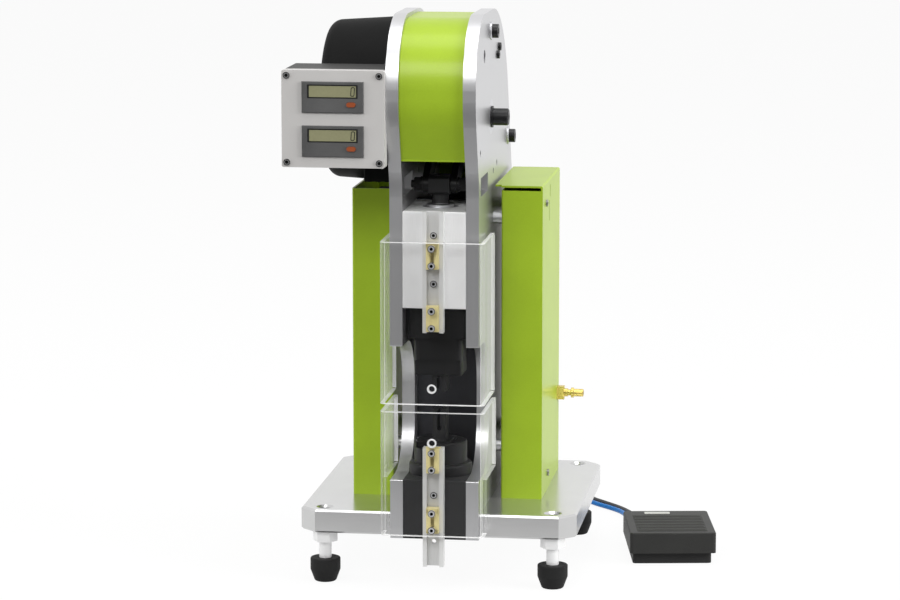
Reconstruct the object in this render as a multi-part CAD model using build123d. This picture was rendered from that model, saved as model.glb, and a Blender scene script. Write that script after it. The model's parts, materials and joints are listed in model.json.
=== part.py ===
from build123d import *
import math
import os

os.makedirs("parts", exist_ok=True)

# Bench crimping machine: a lever press between two side plates on a footed base plate.
# X runs across the machine, with 0 midway between the side plates.
# Y runs front to back, with 0 at the middle of the base plate. Z is height above the floor.

# ---------------------------------------------------------------- base plate and feet
base_width = 220.0
base_depth = 220.0
base_thickness = 18.5
base_corner_cut = 13.0
base_edge_break = 1.5
base_clearance_height = 41.5
foot_inset_x = 19.0
foot_inset_y = 13.5
foot_thread_diameter = 10.0
foot_rubber_diameter = 24.0
foot_rubber_height = 19.0
foot_rubber_sole_diameter = 17.0
foot_nut_flats = 17.0
foot_nut_height = 9.0
foot_stud_depth = 10.0
base_hole_countersink = 2.0
foot_rubber_sole_round = 2.0
foot_rubber_side_round = 3.0
foot_rubber_top_round = 1.0

# ---------------------------------------------------------------- side plates
plate_thickness = 10.0
plate_gap = 50.0
plate_overhang = 10.0
plate_foot_length = 62.0
plate_back_length = 212.0
plate_back_slope_length = 54.0
plate_knee_radius = 20.0
plate_edge_round = 1.0
head_rise = 84.5
head_front_rise = 10.5
head_forward = 19.5
back_knee_drop = 58.5
neck_bend_rise = 21.0
head_front_radius = 55.0
head_back_radius = 105.0
neck_radius = 60.0
throat_depth = 64.5
throat_opening = 106.0
throat_corner_radius = 39.0
window_front = 12.0
window_length = 42.0
window_height = 14.5
window_rise = 0.75
sight_hole_diameter = 10.2
sight_hole_setback = 33.0
sight_hole_rise = 51.5
small_hole_diameter = 5.0
small_hole_places = ((111.0, -40.5), (89.0, -44.5), (9.0, -21.5))
tie_rod_diameter = 12.0
head_tie_setback = 73.0
head_tie_rise = 68.1
body_tie_setback = 190.0
body_tie_heights = (50.0, 190.0)
cap_screw_diameter = 11.0
cap_screw_height = 6.0
cap_screw_socket = 5.0
small_screw_places = ((120.9, 51.7), (111.3, 46.1))
small_screw_diameter = 6.5
small_screw_height = 2.2
small_screw_socket = 2.5
web_setback = 13.0
web_thickness = 6.0

# ---------------------------------------------------------------- ram and its guide
ram_setback = 36.0
ram_diameter = 22.0
ram_shoulder_height = 2.5
ram_neck_diameter = 13.0
ram_head_width = 16.5
ram_head_depth = 20.0
ram_head_height = 14.5
ram_head_lift = 7.5
ram_stroke = 9.0
ram_edge = 0.8
ram_head_edge = 2.0
guide_lift = 30.5
guide_height = 76.0
guide_depth = 72.0
bush_diameter = 28.0
cross_pin_diameter = 6.0
cross_pin_reach = 23.0
cross_nut_flats = 10.0
cross_nut_height = 5.0
cross_washer_thickness = 1.6
cross_washer_rim = 0.8
running_gap = 0.06
side_gap = 0.3

# ---------------------------------------------------------------- tools
holder_flange_width = 49.0
holder_flange_depth = 44.0
holder_flange_height = 25.6
holder_top_gap = 0.4
holder_width = 38.0
holder_depth = 36.0
holder_height = 30.0
holder_corner = 5.0
holder_step_height = 12.0
holder_step_depth = 2.0
punch_width = 11.5
punch_depth = 18.0
punch_length = 14.5
punch_slot_width = 4.0
punch_slot_height = 12.0
tool_edge = 0.8
tool_slot_flat = 0.1
anvil_depth = 62.0
anvil_height = 47.0
die_flange_diameter = 50.0
die_flange_height = 9.0
die_body_diameter = 42.0
die_body_height = 17.0
die_holder_root_radius = 2.5
die_holder_foot_edge = 0.6
die_holder_top_edge = 1.5
die_pocket_width = 9.0
die_pocket_depth = 5.0
die_pocket_offset = 9.0
die_clamp_diameter = 3.0
die_clamp_length = 11.0
die_clamp_tilt = 35.0
die_clamp_offset = 10.0
die_width = 10.4
die_depth = 16.0
die_height = 25.5
die_slot_width = 3.6
die_slot_depth = 17.0

# ---------------------------------------------------------------- cam drive
shaft_setback = 76.0
shaft_rise = 66.5
shaft_diameter = 15.0
shaft_end_diameter = 13.5
shaft_end_length = 14.0
shaft_collar_diameter = 17.0
shaft_collar_end = 1.5
shaft_end_edge = 1.0
shaft_socket_radius = 3.0
shaft_socket_depth = 6.0
shaft_left_reach = 58.0
bearing_diameter = 28.0
cam_minimum_radius = 14.0
cam_thickness = 12.0
cam_hub_diameter = 22.0
cam_hub_length = 15.0
cam_outline_points = 48
roller_diameter = 22.0
roller_width = 15.0
roller_pin_diameter = 8.0
roller_gap = 0.3
lever_pivot_setback = 184.0
lever_pivot_drop = 27.1
lever_pin_diameter = 12.0
lever_cheek_thickness = 5.0
lever_eye_radius = 7.0
lever_roller_boss = 10.0
lever_pivot_boss = 9.0
lever_slot_travel = 3.4
lever_slot_gap = 0.12
lever_spacer_wall = 3.0

# ---------------------------------------------------------------- motor and cable entry
motor_setback = 102.0
motor_rise = 10.5
motor_cover_radius = 66.5
motor_cover_end_radius = 62.5
motor_cover_length = 63.0
motor_cover_corner = 10.0
motor_cover_wall = 2.5
motor_radius = 35.0
motor_length = 37.0
gearbox_radius = 54.0
gearbox_length = 20.0
motor_bore_gap = 0.5
cable_block_setback = 36.0
cable_block_depth = 17.0
cable_block_width = 26.0
cable_block_height = 14.0
cable_block_drop = 48.5
cable_block_edge = 1.0

# ---------------------------------------------------------------- head cover
cover_inset = 3.0
cover_thickness = 1.5
cover_front_drop = 27.0
cover_back_drop = 67.5
cover_flange = 9.0
back_panel_gap = 2.0

# ---------------------------------------------------------------- counter box
counter_box_width = 80.0
counter_box_height = 75.0
counter_box_depth = 57.0
counter_box_drop = 30.5
counter_box_front = -24.0
counter_box_wall = 3.0
counter_lid_depth = 12.0
counter_box_corner = 1.5
counter_lid_rim_x = 9.0
counter_lid_rim_z = 7.0
counter_width = 48.0
counter_height = 24.0
counter_bezel = 2.0
counter_bezel_edge = 0.5
counter_body_width = 44.8
counter_body_height = 22.0
counter_body_depth = 34.0
counter_spacing = 34.0
counter_screen_width = 39.5
counter_screen_height = 10.8
counter_screen_lift = 4.4
counter_screen_recess = 0.8
button_width = 7.0
button_height = 3.6
button_offset_x = 14.5
button_offset_z = -5.5
button_proud = 1.2
button_travel = 0.8
button_gap = 0.15
button_end_gap = 0.2
button_well_depth = 2.0
lid_screw_inset = 4.0
lid_screw_diameter = 5.0
lid_screw_height = 1.2
lid_screw_socket = 2.5

# ---------------------------------------------------------------- guards, rails, clamps
rail_width = 16.3
rail_depth = 7.5
rail_length = 95.0
rail_channel_width = 10.0
rail_channel_depth = 5.0
rail_groove_width = 12.4
rail_groove_depth = 1.8
rail_groove_inset = 1.6
upper_rail_drop = 18.0
lower_rail_drop = 67.5
upper_rail_hole_rises = (38.0, 76.0)
lower_rail_hole_rises = (56.5, 19.5)
rail_hole_diameter = 3.5
rail_screw_diameter = 5.2
rail_screw_head = 1.6
rail_screw_socket = 2.5
guard_width = 82.0
guard_thickness = 3.0
guard_front = -14.0
guard_bend_radius = 5.0
guard_gap = 6.0
upper_guard_height = 127.3
upper_guard_depth = 52.0
lower_guard_lift = 5.0
lower_guard_height = 98.7
lower_guard_depth = 60.6
lower_guard_step_rise = 1.0
lower_guard_return = 4.5
guard_wing_corner = 2.5
guard_hole_diameter = 6.0
upper_guard_hole_rise = 12.8
lower_guard_hole_rise = 74.5
clamp_width = 9.8
clamp_height = 20.0
clamp_tongue_width = 12.0
clamp_tongue_thickness = 1.4
clamp_tongue_gap = 0.2
clamp_head_room = 0.3
clamp_screw_spacing = 13.4
clamp_screw_diameter = 3.0
clamp_head_diameter = 5.5
clamp_head_height = 2.4
clamp_screw_socket = 2.5
clamp_screw_end_gap = 0.5
upper_clamp_rises = (60.5, 11.6)
lower_clamp_rises = (85.6, 37.6)

# ---------------------------------------------------------------- side boxes
box_inner_side = 43.5
box_width = 33.0
box_front = 73.0
box_depth = 126.0
box_headroom = 2.5
box_wall = 1.5
box_bend_radius = 1.6
unit_clearance = 2.5
unit_headroom = 14.0
cover_lip_gap = 2.5
cover_side_reach = 5.5
cover_notch_depth = 6.0
cover_slot_width = 2.2
cover_upper_slot = (54.0, 1.0, 11.0)
cover_lower_slot = (48.0, 13.0, 30.0)
cover_screw_diameter = 5.5
cover_screw_height = 1.5
cover_screw_socket = 2.5
cover_screw_insets = (24.0, 39.0)
cover_screw_drop = 12.5
cover_screw_rise = 14.0
standoff_diameter = 10.0
standoff_inset = 19.0
standoff_rise = 40.0
standoff_drop = 24.0
air_plug_back_inset = 11.0
air_plug_rise = 66.0
air_plug_flats = 11.0
air_plug_hexagon_length = 6.0
air_plug_shank_diameter = 10.0
air_plug_shank_length = 8.0
air_plug_bore_diameter = 3.2
air_plug_length = 16.0
air_plug_collar_radius = 3.4
air_plug_collar_length = 3.0
air_plug_waist_radius = 2.6
air_plug_waist_length = 2.5
air_plug_ring_radius = 4.2
air_plug_ring_length = 2.5
air_plug_ring_round = 0.5
air_plug_tip_radius = 3.2
air_plug_tip_round = 1.0

# ---------------------------------------------------------------- foot pedal
pedal_x = 145.3
pedal_y = -15.0
pedal_turn = 9.0
pedal_width = 70.0
pedal_depth = 83.0
pedal_base_width = 64.0
pedal_base_height = 13.0
pedal_height = 27.0
pedal_groove_count = 6
pedal_groove_width = 3.0
pedal_groove_depth = 1.0
pedal_groove_rim = 7.0
pedal_groove_reach = 62.0
pedal_front_inset = 8.0
pedal_back_inset = 3.0
pedal_hinge_inset = 8.0
pedal_hinge_height = 17.0
pedal_pin_diameter = 4.0
pedal_pin_end_gap = 0.5
pedal_skirt_floor = 10.0
pedal_wall = 2.4
pedal_pad_thickness = 3.0
pedal_corner_radius = 3.0
pedal_edge_round = 1.2

# ---------------------------------------------------------------- air line and signal line
line_diameter = 4.0
line_gland_diameter = 7.5
line_gland_length = 6.0
line_box_x = 60.0
line_box_heights = (84.0, 98.0)
line_pedal_offsets = (8.0, 16.5)
line_pedal_height = 9.0
line_bend_share = 0.45
line_coil_diameter = 44.0
line_coil_thickness = 8.6
line_coil_height = 12.8

# ---------------------------------------------------------------- worked-out places
front = -base_depth / 2 - plate_overhang
base_top = base_clearance_height + base_thickness
base_front = -base_depth / 2
throat_floor_height = base_clearance_height + anvil_height
throat_roof_height = throat_floor_height + throat_opening
guide_floor_height = throat_roof_height + guide_lift
holder_flange_floor = guide_floor_height - holder_top_gap - holder_flange_height
holder_floor = holder_flange_floor - holder_height
half_gap = plate_gap / 2
plate_outer = half_gap + plate_thickness
ram_y = front + ram_setback
shaft_y = front + shaft_setback
motor_y = front + motor_setback
pivot_y = front + lever_pivot_setback
guide_top = guide_floor_height + guide_height
shaft_height = guide_top + shaft_rise
motor_height = shaft_height + motor_rise
lever_pivot_height = shaft_height - lever_pivot_drop
plate_top_height = shaft_height + head_rise
cover_front_floor = shaft_height - cover_front_drop
cover_back_floor = shaft_height - cover_back_drop
ram_shoulder = guide_top + ram_shoulder_height
ram_head_floor = ram_shoulder + ram_head_lift
cross_pin_height = ram_head_floor + ram_head_height / 2
roller_height = shaft_height - cam_minimum_radius - roller_diameter / 2 - roller_gap
roller_y = shaft_y
foot_x = base_width / 2 - foot_inset_x
foot_y = base_depth / 2 - foot_inset_y
lever_inner = ram_head_width / 2 + side_gap
lever_outer = lever_inner + lever_cheek_thickness
lever_reach = pivot_y - ram_y
lever_swing = math.degrees(math.asin(ram_stroke / lever_reach))
cam_rise = math.radians(lever_swing) * (pivot_y - roller_y)
window_floor = cross_pin_height + window_rise - window_height / 2
upper_rail_floor = guide_floor_height - upper_rail_drop
lower_rail_floor = throat_floor_height - lower_rail_drop
upper_rail_hole_heights = [upper_rail_floor + rise for rise in upper_rail_hole_rises]
lower_rail_hole_heights = [lower_rail_floor + rise for rise in lower_rail_hole_rises]
lower_guard_floor = base_clearance_height + lower_guard_lift
upper_guard_floor = lower_guard_floor + lower_guard_height + guard_gap
upper_clamp_heights = [upper_rail_floor + rise for rise in upper_clamp_rises]
lower_clamp_heights = [lower_rail_floor + rise for rise in lower_clamp_rises]
box_front_y = front + box_front
box_back_y = box_front_y + box_depth
box_outer_side = box_inner_side + box_width
box_top = motor_height - motor_cover_radius - box_headroom
plug_y = box_back_y - air_plug_back_inset
air_plug_height = base_top + air_plug_rise
tie_rod_places = [(head_tie_setback, shaft_height + head_tie_rise)]
tie_rod_places += [(body_tie_setback, base_top + height) for height in body_tie_heights]
cap_screw_places = [tie_rod_places[0], (lever_pivot_setback, lever_pivot_height)]


def block(x_range, y_range, z_range):
    """A cuboid from its low and high limits along each axis."""
    size = [high - low for low, high in (x_range, y_range, z_range)]
    middle = [(high + low) / 2 for low, high in (x_range, y_range, z_range)]
    return Pos(*middle) * Box(*size)


def rod_x(radius, x_range, y, z):
    """A round bar along X."""
    length = x_range[1] - x_range[0]
    return Pos((x_range[0] + x_range[1]) / 2, y, z) * Rot(0, 90, 0) * Cylinder(radius, length)


def rod_y(radius, y_range, x, z):
    """A round bar along Y."""
    length = y_range[1] - y_range[0]
    return Pos(x, (y_range[0] + y_range[1]) / 2, z) * Rot(90, 0, 0) * Cylinder(radius, length)


def rod_z(radius, z_range, x, y):
    """A round bar along Z."""
    length = z_range[1] - z_range[0]
    return Pos(x, y, (z_range[0] + z_range[1]) / 2) * Cylinder(radius, length)


def side_profile(points, radii):
    """A face in the YZ plane from (y, z) points, each with its corner radius."""
    outline = FilletPolyline(*points, radius=radii, close=True)
    return Plane.YZ * make_face(outline)


def across(face, x_range):
    """A face drawn in the YZ plane, extruded from one X to another."""
    return Pos(x_range[0], 0, 0) * extrude(face, x_range[1] - x_range[0], dir=(1, 0, 0))


def socket_screw(head_diameter, head_height, socket_flats):
    """A socket head standing on the XY plane, its mouth upwards."""
    head = Pos(0, 0, head_height / 2) * Cylinder(head_diameter / 2, head_height)
    socket = Plane.XY.offset(head_height) * RegularPolygon(socket_flats / 2, 6, major_radius=False)
    return head - extrude(socket, -head_height / 2)


def keep(node, *solids):
    """Write one node's solids to its own STEP file."""
    export_step(Compound(children=list(solids)) if len(solids) > 1 else solids[0], f"parts/{node}.step")


# ---------------------------------------------------------------- base plate and feet
def corner_places():
    """The four foot centres."""
    return [(x, y) for x in (-foot_x, foot_x) for y in (-foot_y, foot_y)]


def make_base_plate():
    """Chamfered square plate with a front notch for the press body and four tapped holes."""
    corners = Rectangle(base_width, base_depth)
    plate = chamfer(corners.vertices(), base_corner_cut)
    plate = extrude(Plane.XY.offset(base_clearance_height) * plate, base_thickness)
    rims = plate.faces().sort_by(Axis.Z)[-1].edges() + plate.faces().sort_by(Axis.Z)[0].edges()
    plate = chamfer(rims, base_edge_break)
    notch_end = front + plate_foot_length
    plate -= block(
        (-plate_outer, plate_outer),
        (base_front - base_edge_break, notch_end),
        (base_clearance_height, base_top),
    )
    for x, y in corner_places():
        plate -= rod_z(foot_thread_diameter / 2, (base_clearance_height, base_top), x, y)
        sink_radius = foot_thread_diameter / 2 + base_hole_countersink
        plate -= Pos(x, y, base_top - base_hole_countersink / 2) * Cone(
            foot_thread_diameter / 2, sink_radius, base_hole_countersink
        )
    return plate


def make_foot_rubber(x, y):
    """Rubber cap, straight above and tapered to its sole, with a hole for the stud."""
    wide = foot_rubber_diameter / 2
    sole = foot_rubber_sole_diameter / 2
    bore = foot_thread_diameter / 2
    half = foot_rubber_height / 2
    outline = FilletPolyline(
        (0, 0), (sole, 0), (wide, half), (wide, foot_rubber_height), (bore, foot_rubber_height),
        (bore, half), (0, half),
        radius=(0, foot_rubber_sole_round, foot_rubber_side_round, foot_rubber_top_round, 0, 0, 0),
        close=True,
    )
    return Pos(x, y, 0) * revolve(Plane.XZ * make_face(outline), Axis.Z)


def make_foot_stud(x, y):
    """Threaded stud from the rubber cap up into the base plate."""
    span = (foot_rubber_height / 2, base_clearance_height + foot_stud_depth)
    return rod_z(foot_thread_diameter / 2, span, x, y)


def make_foot_nut(x, y):
    """Hexagon lock nut under the base plate."""
    profile = RegularPolygon(foot_nut_flats / 2, 6, major_radius=False)
    profile -= Circle(foot_thread_diameter / 2)
    nut = extrude(Plane.XY.offset(base_clearance_height - foot_nut_height) * profile, foot_nut_height)
    return Pos(x, y, 0) * nut


# ---------------------------------------------------------------- side plates
def plate_points():
    """The side plate's outline as (y, z) points with their corner radii."""
    back = front + plate_back_length
    head_front = front - head_forward
    return [
        ((front, base_clearance_height), 0),
        ((front, throat_floor_height), plate_edge_round),
        ((front + throat_depth, throat_floor_height), throat_corner_radius),
        ((front + throat_depth, throat_roof_height), throat_corner_radius),
        ((front, throat_roof_height), plate_edge_round),
        ((front, guide_top + neck_bend_rise), neck_radius),
        ((head_front, shaft_height + head_front_rise), neck_radius),
        ((head_front, plate_top_height), head_front_radius),
        ((back - plate_back_slope_length, plate_top_height), head_back_radius),
        ((back, shaft_height - back_knee_drop), plate_knee_radius),
        ((back, base_top), 0),
        ((front + plate_foot_length, base_top), 0),
        ((front + plate_foot_length, base_clearance_height), 0),
    ]


def plate_face():
    """The side plate's outline as a face in the YZ plane."""
    points = [point for point, radius in plate_points()]
    radii = [radius for point, radius in plate_points()]
    return side_profile(points, radii)


def make_side_plate(side):
    """One side plate, left (-1) or right (+1), with its bearing bore, window and holes."""
    inner, outer = sorted((side * half_gap, side * plate_outer))
    plate = across(plate_face(), (inner, outer))
    plate -= block(
        (inner, outer),
        (front + window_front, front + window_front + window_length),
        (window_floor, window_floor + window_height),
    )
    plate -= rod_x(bearing_diameter / 2, (inner, outer), shaft_y, shaft_height)
    plate -= rod_x(lever_pin_diameter / 2, (inner, outer), pivot_y, lever_pivot_height)
    sight_y = front + sight_hole_setback
    plate -= rod_x(sight_hole_diameter / 2, (inner, outer), sight_y, shaft_height + sight_hole_rise)
    for setback, rise in small_hole_places:
        plate -= rod_x(small_hole_diameter / 2, (inner, outer), front + setback, shaft_height + rise)
    return plate


def make_bearing(side):
    """Plain shaft bearing pressed into a side plate, flush on the outer face."""
    inner, outer = sorted((side * half_gap, side * plate_outer))
    ring = rod_x(bearing_diameter / 2, (inner, outer), shaft_y, shaft_height)
    return ring - rod_x(shaft_diameter / 2 + running_gap, (inner, outer), shaft_y, shaft_height)


# ---------------------------------------------------------------- ram, guide and tools
def make_guide_block():
    """Aluminium block between the side plates, bored for the ram's bush."""
    y_range = (front, front + guide_depth)
    body = block((-half_gap, half_gap), y_range, (guide_floor_height, guide_top))
    return body - rod_z(bush_diameter / 2, (guide_floor_height, guide_top), 0, ram_y)


def make_guide_bush():
    """Plain bush, flush in the guide block, that guides the ram."""
    bush = rod_z(bush_diameter / 2, (guide_floor_height, guide_top), 0, ram_y)
    return bush - rod_z(ram_diameter / 2 + running_gap, (guide_floor_height, guide_top), 0, ram_y)


def make_ram():
    """Round ram, necked above the bush to a flat-sided head bored for the cross pin."""
    head_top = ram_head_floor + ram_head_height
    ram = rod_z(ram_diameter / 2, (holder_flange_floor, ram_shoulder), 0, ram_y)
    ram = chamfer(ram.edges().sort_by(Axis.Z)[-1], ram_edge)
    ram += rod_z(ram_neck_diameter / 2, (ram_shoulder, ram_head_floor), 0, ram_y)
    half_width = ram_head_width / 2
    half_depth = ram_head_depth / 2
    head = block(
        (-half_width, half_width), (ram_y - half_depth, ram_y + half_depth), (ram_head_floor, head_top)
    )
    ram += chamfer(head.edges().filter_by(Axis.X), ram_head_edge)
    return ram - rod_x(cross_pin_diameter / 2, (-half_width, half_width), ram_y, cross_pin_height)


def make_cross_pin():
    """Pin through the ram head and the lever's slots, with a washer and nut at each end."""
    pin = rod_x(cross_pin_diameter / 2, (-cross_pin_reach, cross_pin_reach), ram_y, cross_pin_height)
    washer_inner = lever_outer + side_gap
    washer_outer = washer_inner + cross_washer_thickness
    washer_radius = cross_nut_flats / 2 + cross_washer_rim
    for side in (-1, 1):
        washer_range = sorted((side * washer_inner, side * washer_outer))
        pin += rod_x(washer_radius, washer_range, ram_y, cross_pin_height)
        profile = Plane.YZ * RegularPolygon(cross_nut_flats / 2, 6, major_radius=False)
        nut_start = side * washer_outer
        nut = extrude(profile, cross_nut_height, dir=(side, 0, 0))
        pin += Pos(nut_start, ram_y, cross_pin_height) * nut
    return pin


def make_tool_holder():
    """Stepped block on the ram's lower end that carries the punch."""
    flange_top = guide_floor_height - holder_top_gap
    flange = Rectangle(holder_flange_width, holder_flange_depth)
    flange = fillet(flange.vertices(), holder_corner)
    flange = extrude(
        Plane.XY.offset(holder_flange_floor) * flange, flange_top - holder_flange_floor
    )
    body = Rectangle(holder_width, holder_depth)
    body = fillet(body.vertices(), holder_corner)
    body = extrude(Plane.XY.offset(holder_floor) * body, holder_height)
    half_width = holder_width / 2
    body -= block(
        (-half_width, half_width),
        (-holder_depth / 2, holder_step_depth - holder_depth / 2),
        (holder_floor, holder_floor + holder_step_height),
    )
    holder = Pos(0, ram_y, 0) * (flange + body)
    return holder - rod_z(ram_diameter / 2, (holder_flange_floor, flange_top), 0, ram_y)


def make_punch():
    """Two-legged punch that hangs under the tool holder."""
    half_width = punch_width / 2
    half_slot = punch_slot_width / 2
    floor = holder_floor - punch_length
    slot_top = floor + punch_slot_height
    slot_round = half_slot - tool_slot_flat
    outline = FilletPolyline(
        (-half_width, holder_floor), (-half_width, floor), (-half_slot, floor),
        (-half_slot, slot_top), (half_slot, slot_top), (half_slot, floor),
        (half_width, floor), (half_width, holder_floor),
        radius=(0, tool_edge, tool_edge, slot_round, slot_round, tool_edge, tool_edge, 0), close=True,
    )
    punch = extrude(Plane.XZ * make_face(outline), punch_depth / 2, both=True)
    return Pos(0, ram_y, 0) * punch


def make_anvil():
    """Steel block between the side plates that carries the die holder."""
    return block(
        (-half_gap, half_gap), (front, front + anvil_depth), (base_clearance_height, throat_floor_height)
    )


def make_die_holder():
    """Round die holder, a flange and a body with a slot across its top."""
    floor = throat_floor_height
    step = floor + die_flange_height
    top = step + die_body_height
    outline = FilletPolyline(
        (0, floor), (die_flange_diameter / 2, floor), (die_flange_diameter / 2, step),
        (die_body_diameter / 2, step), (die_body_diameter / 2, top), (0, top),
        radius=(0, 0, die_holder_root_radius, die_holder_foot_edge, die_holder_top_edge, 0), close=True,
    )
    holder = revolve(Plane.XZ * make_face(outline), Axis.Z)
    pocket_side = -die_pocket_offset
    holder -= block(
        (pocket_side - die_pocket_width, pocket_side),
        (-die_body_diameter / 2, -die_depth / 2),
        (top - die_pocket_depth, top),
    )
    clamp = Rot(0, die_clamp_tilt, 0) * Cylinder(die_clamp_diameter / 2, die_clamp_length)
    holder += Pos(die_clamp_offset, -die_depth / 2, top) * clamp
    return Pos(0, ram_y, 0) * holder


def make_die():
    """Forked die standing on the die holder, its slot open upwards."""
    floor = throat_floor_height + die_flange_height + die_body_height
    top = floor + die_height
    half_width = die_width / 2
    half_slot = die_slot_width / 2
    slot_floor = top - die_slot_depth
    slot_round = half_slot - tool_slot_flat
    outline = FilletPolyline(
        (-half_width, floor), (half_width, floor), (half_width, top), (half_slot, top),
        (half_slot, slot_floor), (-half_slot, slot_floor), (-half_slot, top), (-half_width, top),
        radius=(0, 0, tool_edge, tool_edge, slot_round, slot_round, tool_edge, tool_edge), close=True,
    )
    die = extrude(Plane.XZ * make_face(outline), die_depth / 2, both=True)
    return Pos(0, ram_y, 0) * die


# ---------------------------------------------------------------- cam drive
def cam_lift(turn):
    """Lift at a turn in radians: even rise over half a turn, then a cosine return."""
    if turn <= math.pi:
        return cam_rise * turn / math.pi
    return cam_rise * (1 + math.cos(turn - math.pi)) / 2


def roller_track(turn):
    """Centre of the roller, seen from the turning cam, when the shaft has turned that far."""
    reach = cam_minimum_radius + roller_diameter / 2 + cam_lift(turn)
    return Vector(-reach * math.sin(turn), -reach * math.cos(turn))


def make_cam():
    """Plate cam whose edge keeps the roller on an even rise, with a hub on the shaft."""
    edge = []
    step = 2 * math.pi / cam_outline_points
    for index in range(cam_outline_points):
        turn = step * index
        centre = roller_track(turn)
        ahead = roller_track(turn + step / 2) - roller_track(turn - step / 2)
        inward = Vector(-ahead.Y, ahead.X).normalized()
        if inward.dot(centre) > 0:
            inward = -inward
        point = centre + inward * (roller_diameter / 2)
        edge.append((point.X, point.Y))
    outline = Spline(*edge, periodic=True)
    cam = extrude(Plane.YZ * make_face(outline), cam_thickness / 2, both=True)
    cam += Rot(0, 90, 0) * Cylinder(cam_hub_diameter / 2, cam_hub_length)
    cam -= Rot(0, 90, 0) * Cylinder(shaft_diameter / 2, cam_hub_length)
    return Pos(0, shaft_y, shaft_height) * cam


def make_main_shaft():
    """Main shaft from the gearbox through both side plates to its hand-turning end."""
    shaft = rod_x(shaft_diameter / 2, (-shaft_left_reach, plate_outer), shaft_y, shaft_height)
    collar_span = (plate_outer + side_gap, plate_outer + shaft_collar_end)
    shaft += rod_x(shaft_collar_diameter / 2, collar_span, shaft_y, shaft_height)
    end = rod_x(
        shaft_end_diameter / 2, (plate_outer, plate_outer + shaft_end_length), shaft_y, shaft_height
    )
    shaft += chamfer(end.edges().sort_by(Axis.X)[-1], shaft_end_edge)
    socket = Plane.YZ.offset(plate_outer + shaft_end_length) * RegularPolygon(shaft_socket_radius, 6)
    return shaft - Pos(0, shaft_y, shaft_height) * extrude(socket, -shaft_socket_depth)


def lever_cheek_face():
    """Outline of a lever cheek: three bosses joined by tangent bars."""
    eye = (ram_y, cross_pin_height)
    roller = (roller_y, roller_height)
    pivot = (pivot_y, lever_pivot_height)
    stages = [(eye, lever_eye_radius, roller, lever_roller_boss)]
    stages.append((roller, lever_roller_boss, pivot, lever_pivot_boss))
    face = None
    for start, start_radius, end, end_radius in stages:
        ends = Pos(*start) * Circle(start_radius) + Pos(*end) * Circle(end_radius)
        bar = make_hull(ends.edges())
        face = bar if face is None else face + bar
    return face


def make_lever():
    """Two cheeks and a web: pivot boss at the back, roller in the middle, slotted eye in front."""
    face = lever_cheek_face()
    slot_ends = lever_slot_travel / 2
    slot_radius = cross_pin_diameter / 2 + lever_slot_gap
    slot = SlotCenterToCenter(2 * slot_ends, 2 * slot_radius)
    face -= Pos(ram_y, cross_pin_height) * slot
    face -= Pos(roller_y, roller_height) * Circle(roller_pin_diameter / 2)
    face -= Pos(pivot_y, lever_pivot_height) * Circle(lever_pin_diameter / 2 + running_gap)
    face = Plane.YZ * face
    lever = across(face, (-lever_outer, -lever_inner)) + across(face, (lever_inner, lever_outer))
    web_front = roller_y + roller_diameter / 2 + cam_minimum_radius
    web = across(Plane.YZ * lever_cheek_face(), (-lever_inner, lever_inner))
    web &= block(
        (-lever_inner, lever_inner),
        (web_front, pivot_y + lever_pivot_boss),
        (base_top, plate_top_height),
    )
    web -= rod_x(
        lever_pin_diameter / 2 + running_gap, (-lever_inner, lever_inner), pivot_y, lever_pivot_height
    )
    return lever + web


def make_lever_roller():
    """Roller that follows the cam."""
    roller = rod_x(roller_diameter / 2, (-roller_width / 2, roller_width / 2), roller_y, roller_height)
    bore = roller_pin_diameter / 2 + running_gap
    return roller - rod_x(bore, (-roller_width / 2, roller_width / 2), roller_y, roller_height)


def make_roller_pin():
    """Pin that carries the roller between the lever's cheeks."""
    return rod_x(roller_pin_diameter / 2, (-lever_outer, lever_outer), roller_y, roller_height)


def make_lever_pin():
    """Fixed pin through both side plates on which the lever swings, with two spacers."""
    pin = rod_x(lever_pin_diameter / 2, (-plate_outer, plate_outer), pivot_y, lever_pivot_height)
    for side in (-1, 1):
        span = sorted((side * (lever_outer + side_gap), side * half_gap))
        pin += rod_x(lever_pin_diameter / 2 + lever_spacer_wall, span, pivot_y, lever_pivot_height)
    return pin


# ---------------------------------------------------------------- motor side
def motor_cover_profile(inset):
    """Half outline of the tapered round cover, drawn in (x, radius)."""
    open_end = -plate_outer
    closed_end = -plate_outer - motor_cover_length + inset
    radii = (0, 0, motor_cover_corner - inset, 0)
    outline = FilletPolyline(
        (open_end, 0), (open_end, motor_cover_radius - inset),
        (closed_end, motor_cover_end_radius - inset), (closed_end, 0), radius=radii, close=True,
    )
    return Plane.XZ * make_face(outline)


def make_motor_cover():
    """Moulded round cover over the motor and its gearbox, tapered and round-cornered."""
    outside = revolve(motor_cover_profile(0), Axis.X)
    inside = revolve(motor_cover_profile(motor_cover_wall), Axis.X)
    return Pos(0, motor_y, motor_height) * (outside - inside)


def make_gearbox():
    """Round gearbox housing on the left side plate."""
    span = (-plate_outer - gearbox_length, -plate_outer)
    housing = rod_x(gearbox_radius, span, motor_y, motor_height)
    return housing - rod_x(shaft_diameter / 2 + motor_bore_gap, span, shaft_y, shaft_height)


def make_motor():
    """Motor body behind the gearbox."""
    start = -plate_outer - gearbox_length - side_gap
    span = (start - motor_length, start)
    motor = rod_x(motor_radius, span, motor_y, motor_height)
    return motor - rod_x(shaft_diameter / 2 + motor_bore_gap, span, shaft_y, shaft_height)


def make_cable_block():
    """Cable entry block on the left side plate, below the motor cover."""
    y = front + cable_block_setback
    floor = shaft_height - cable_block_drop
    body = block(
        (-plate_outer - cable_block_width, -plate_outer),
        (y, y + cable_block_depth),
        (floor, floor + cable_block_height),
    )
    return chamfer(body.faces().sort_by(Axis.X)[0].edges(), cable_block_edge)


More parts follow.
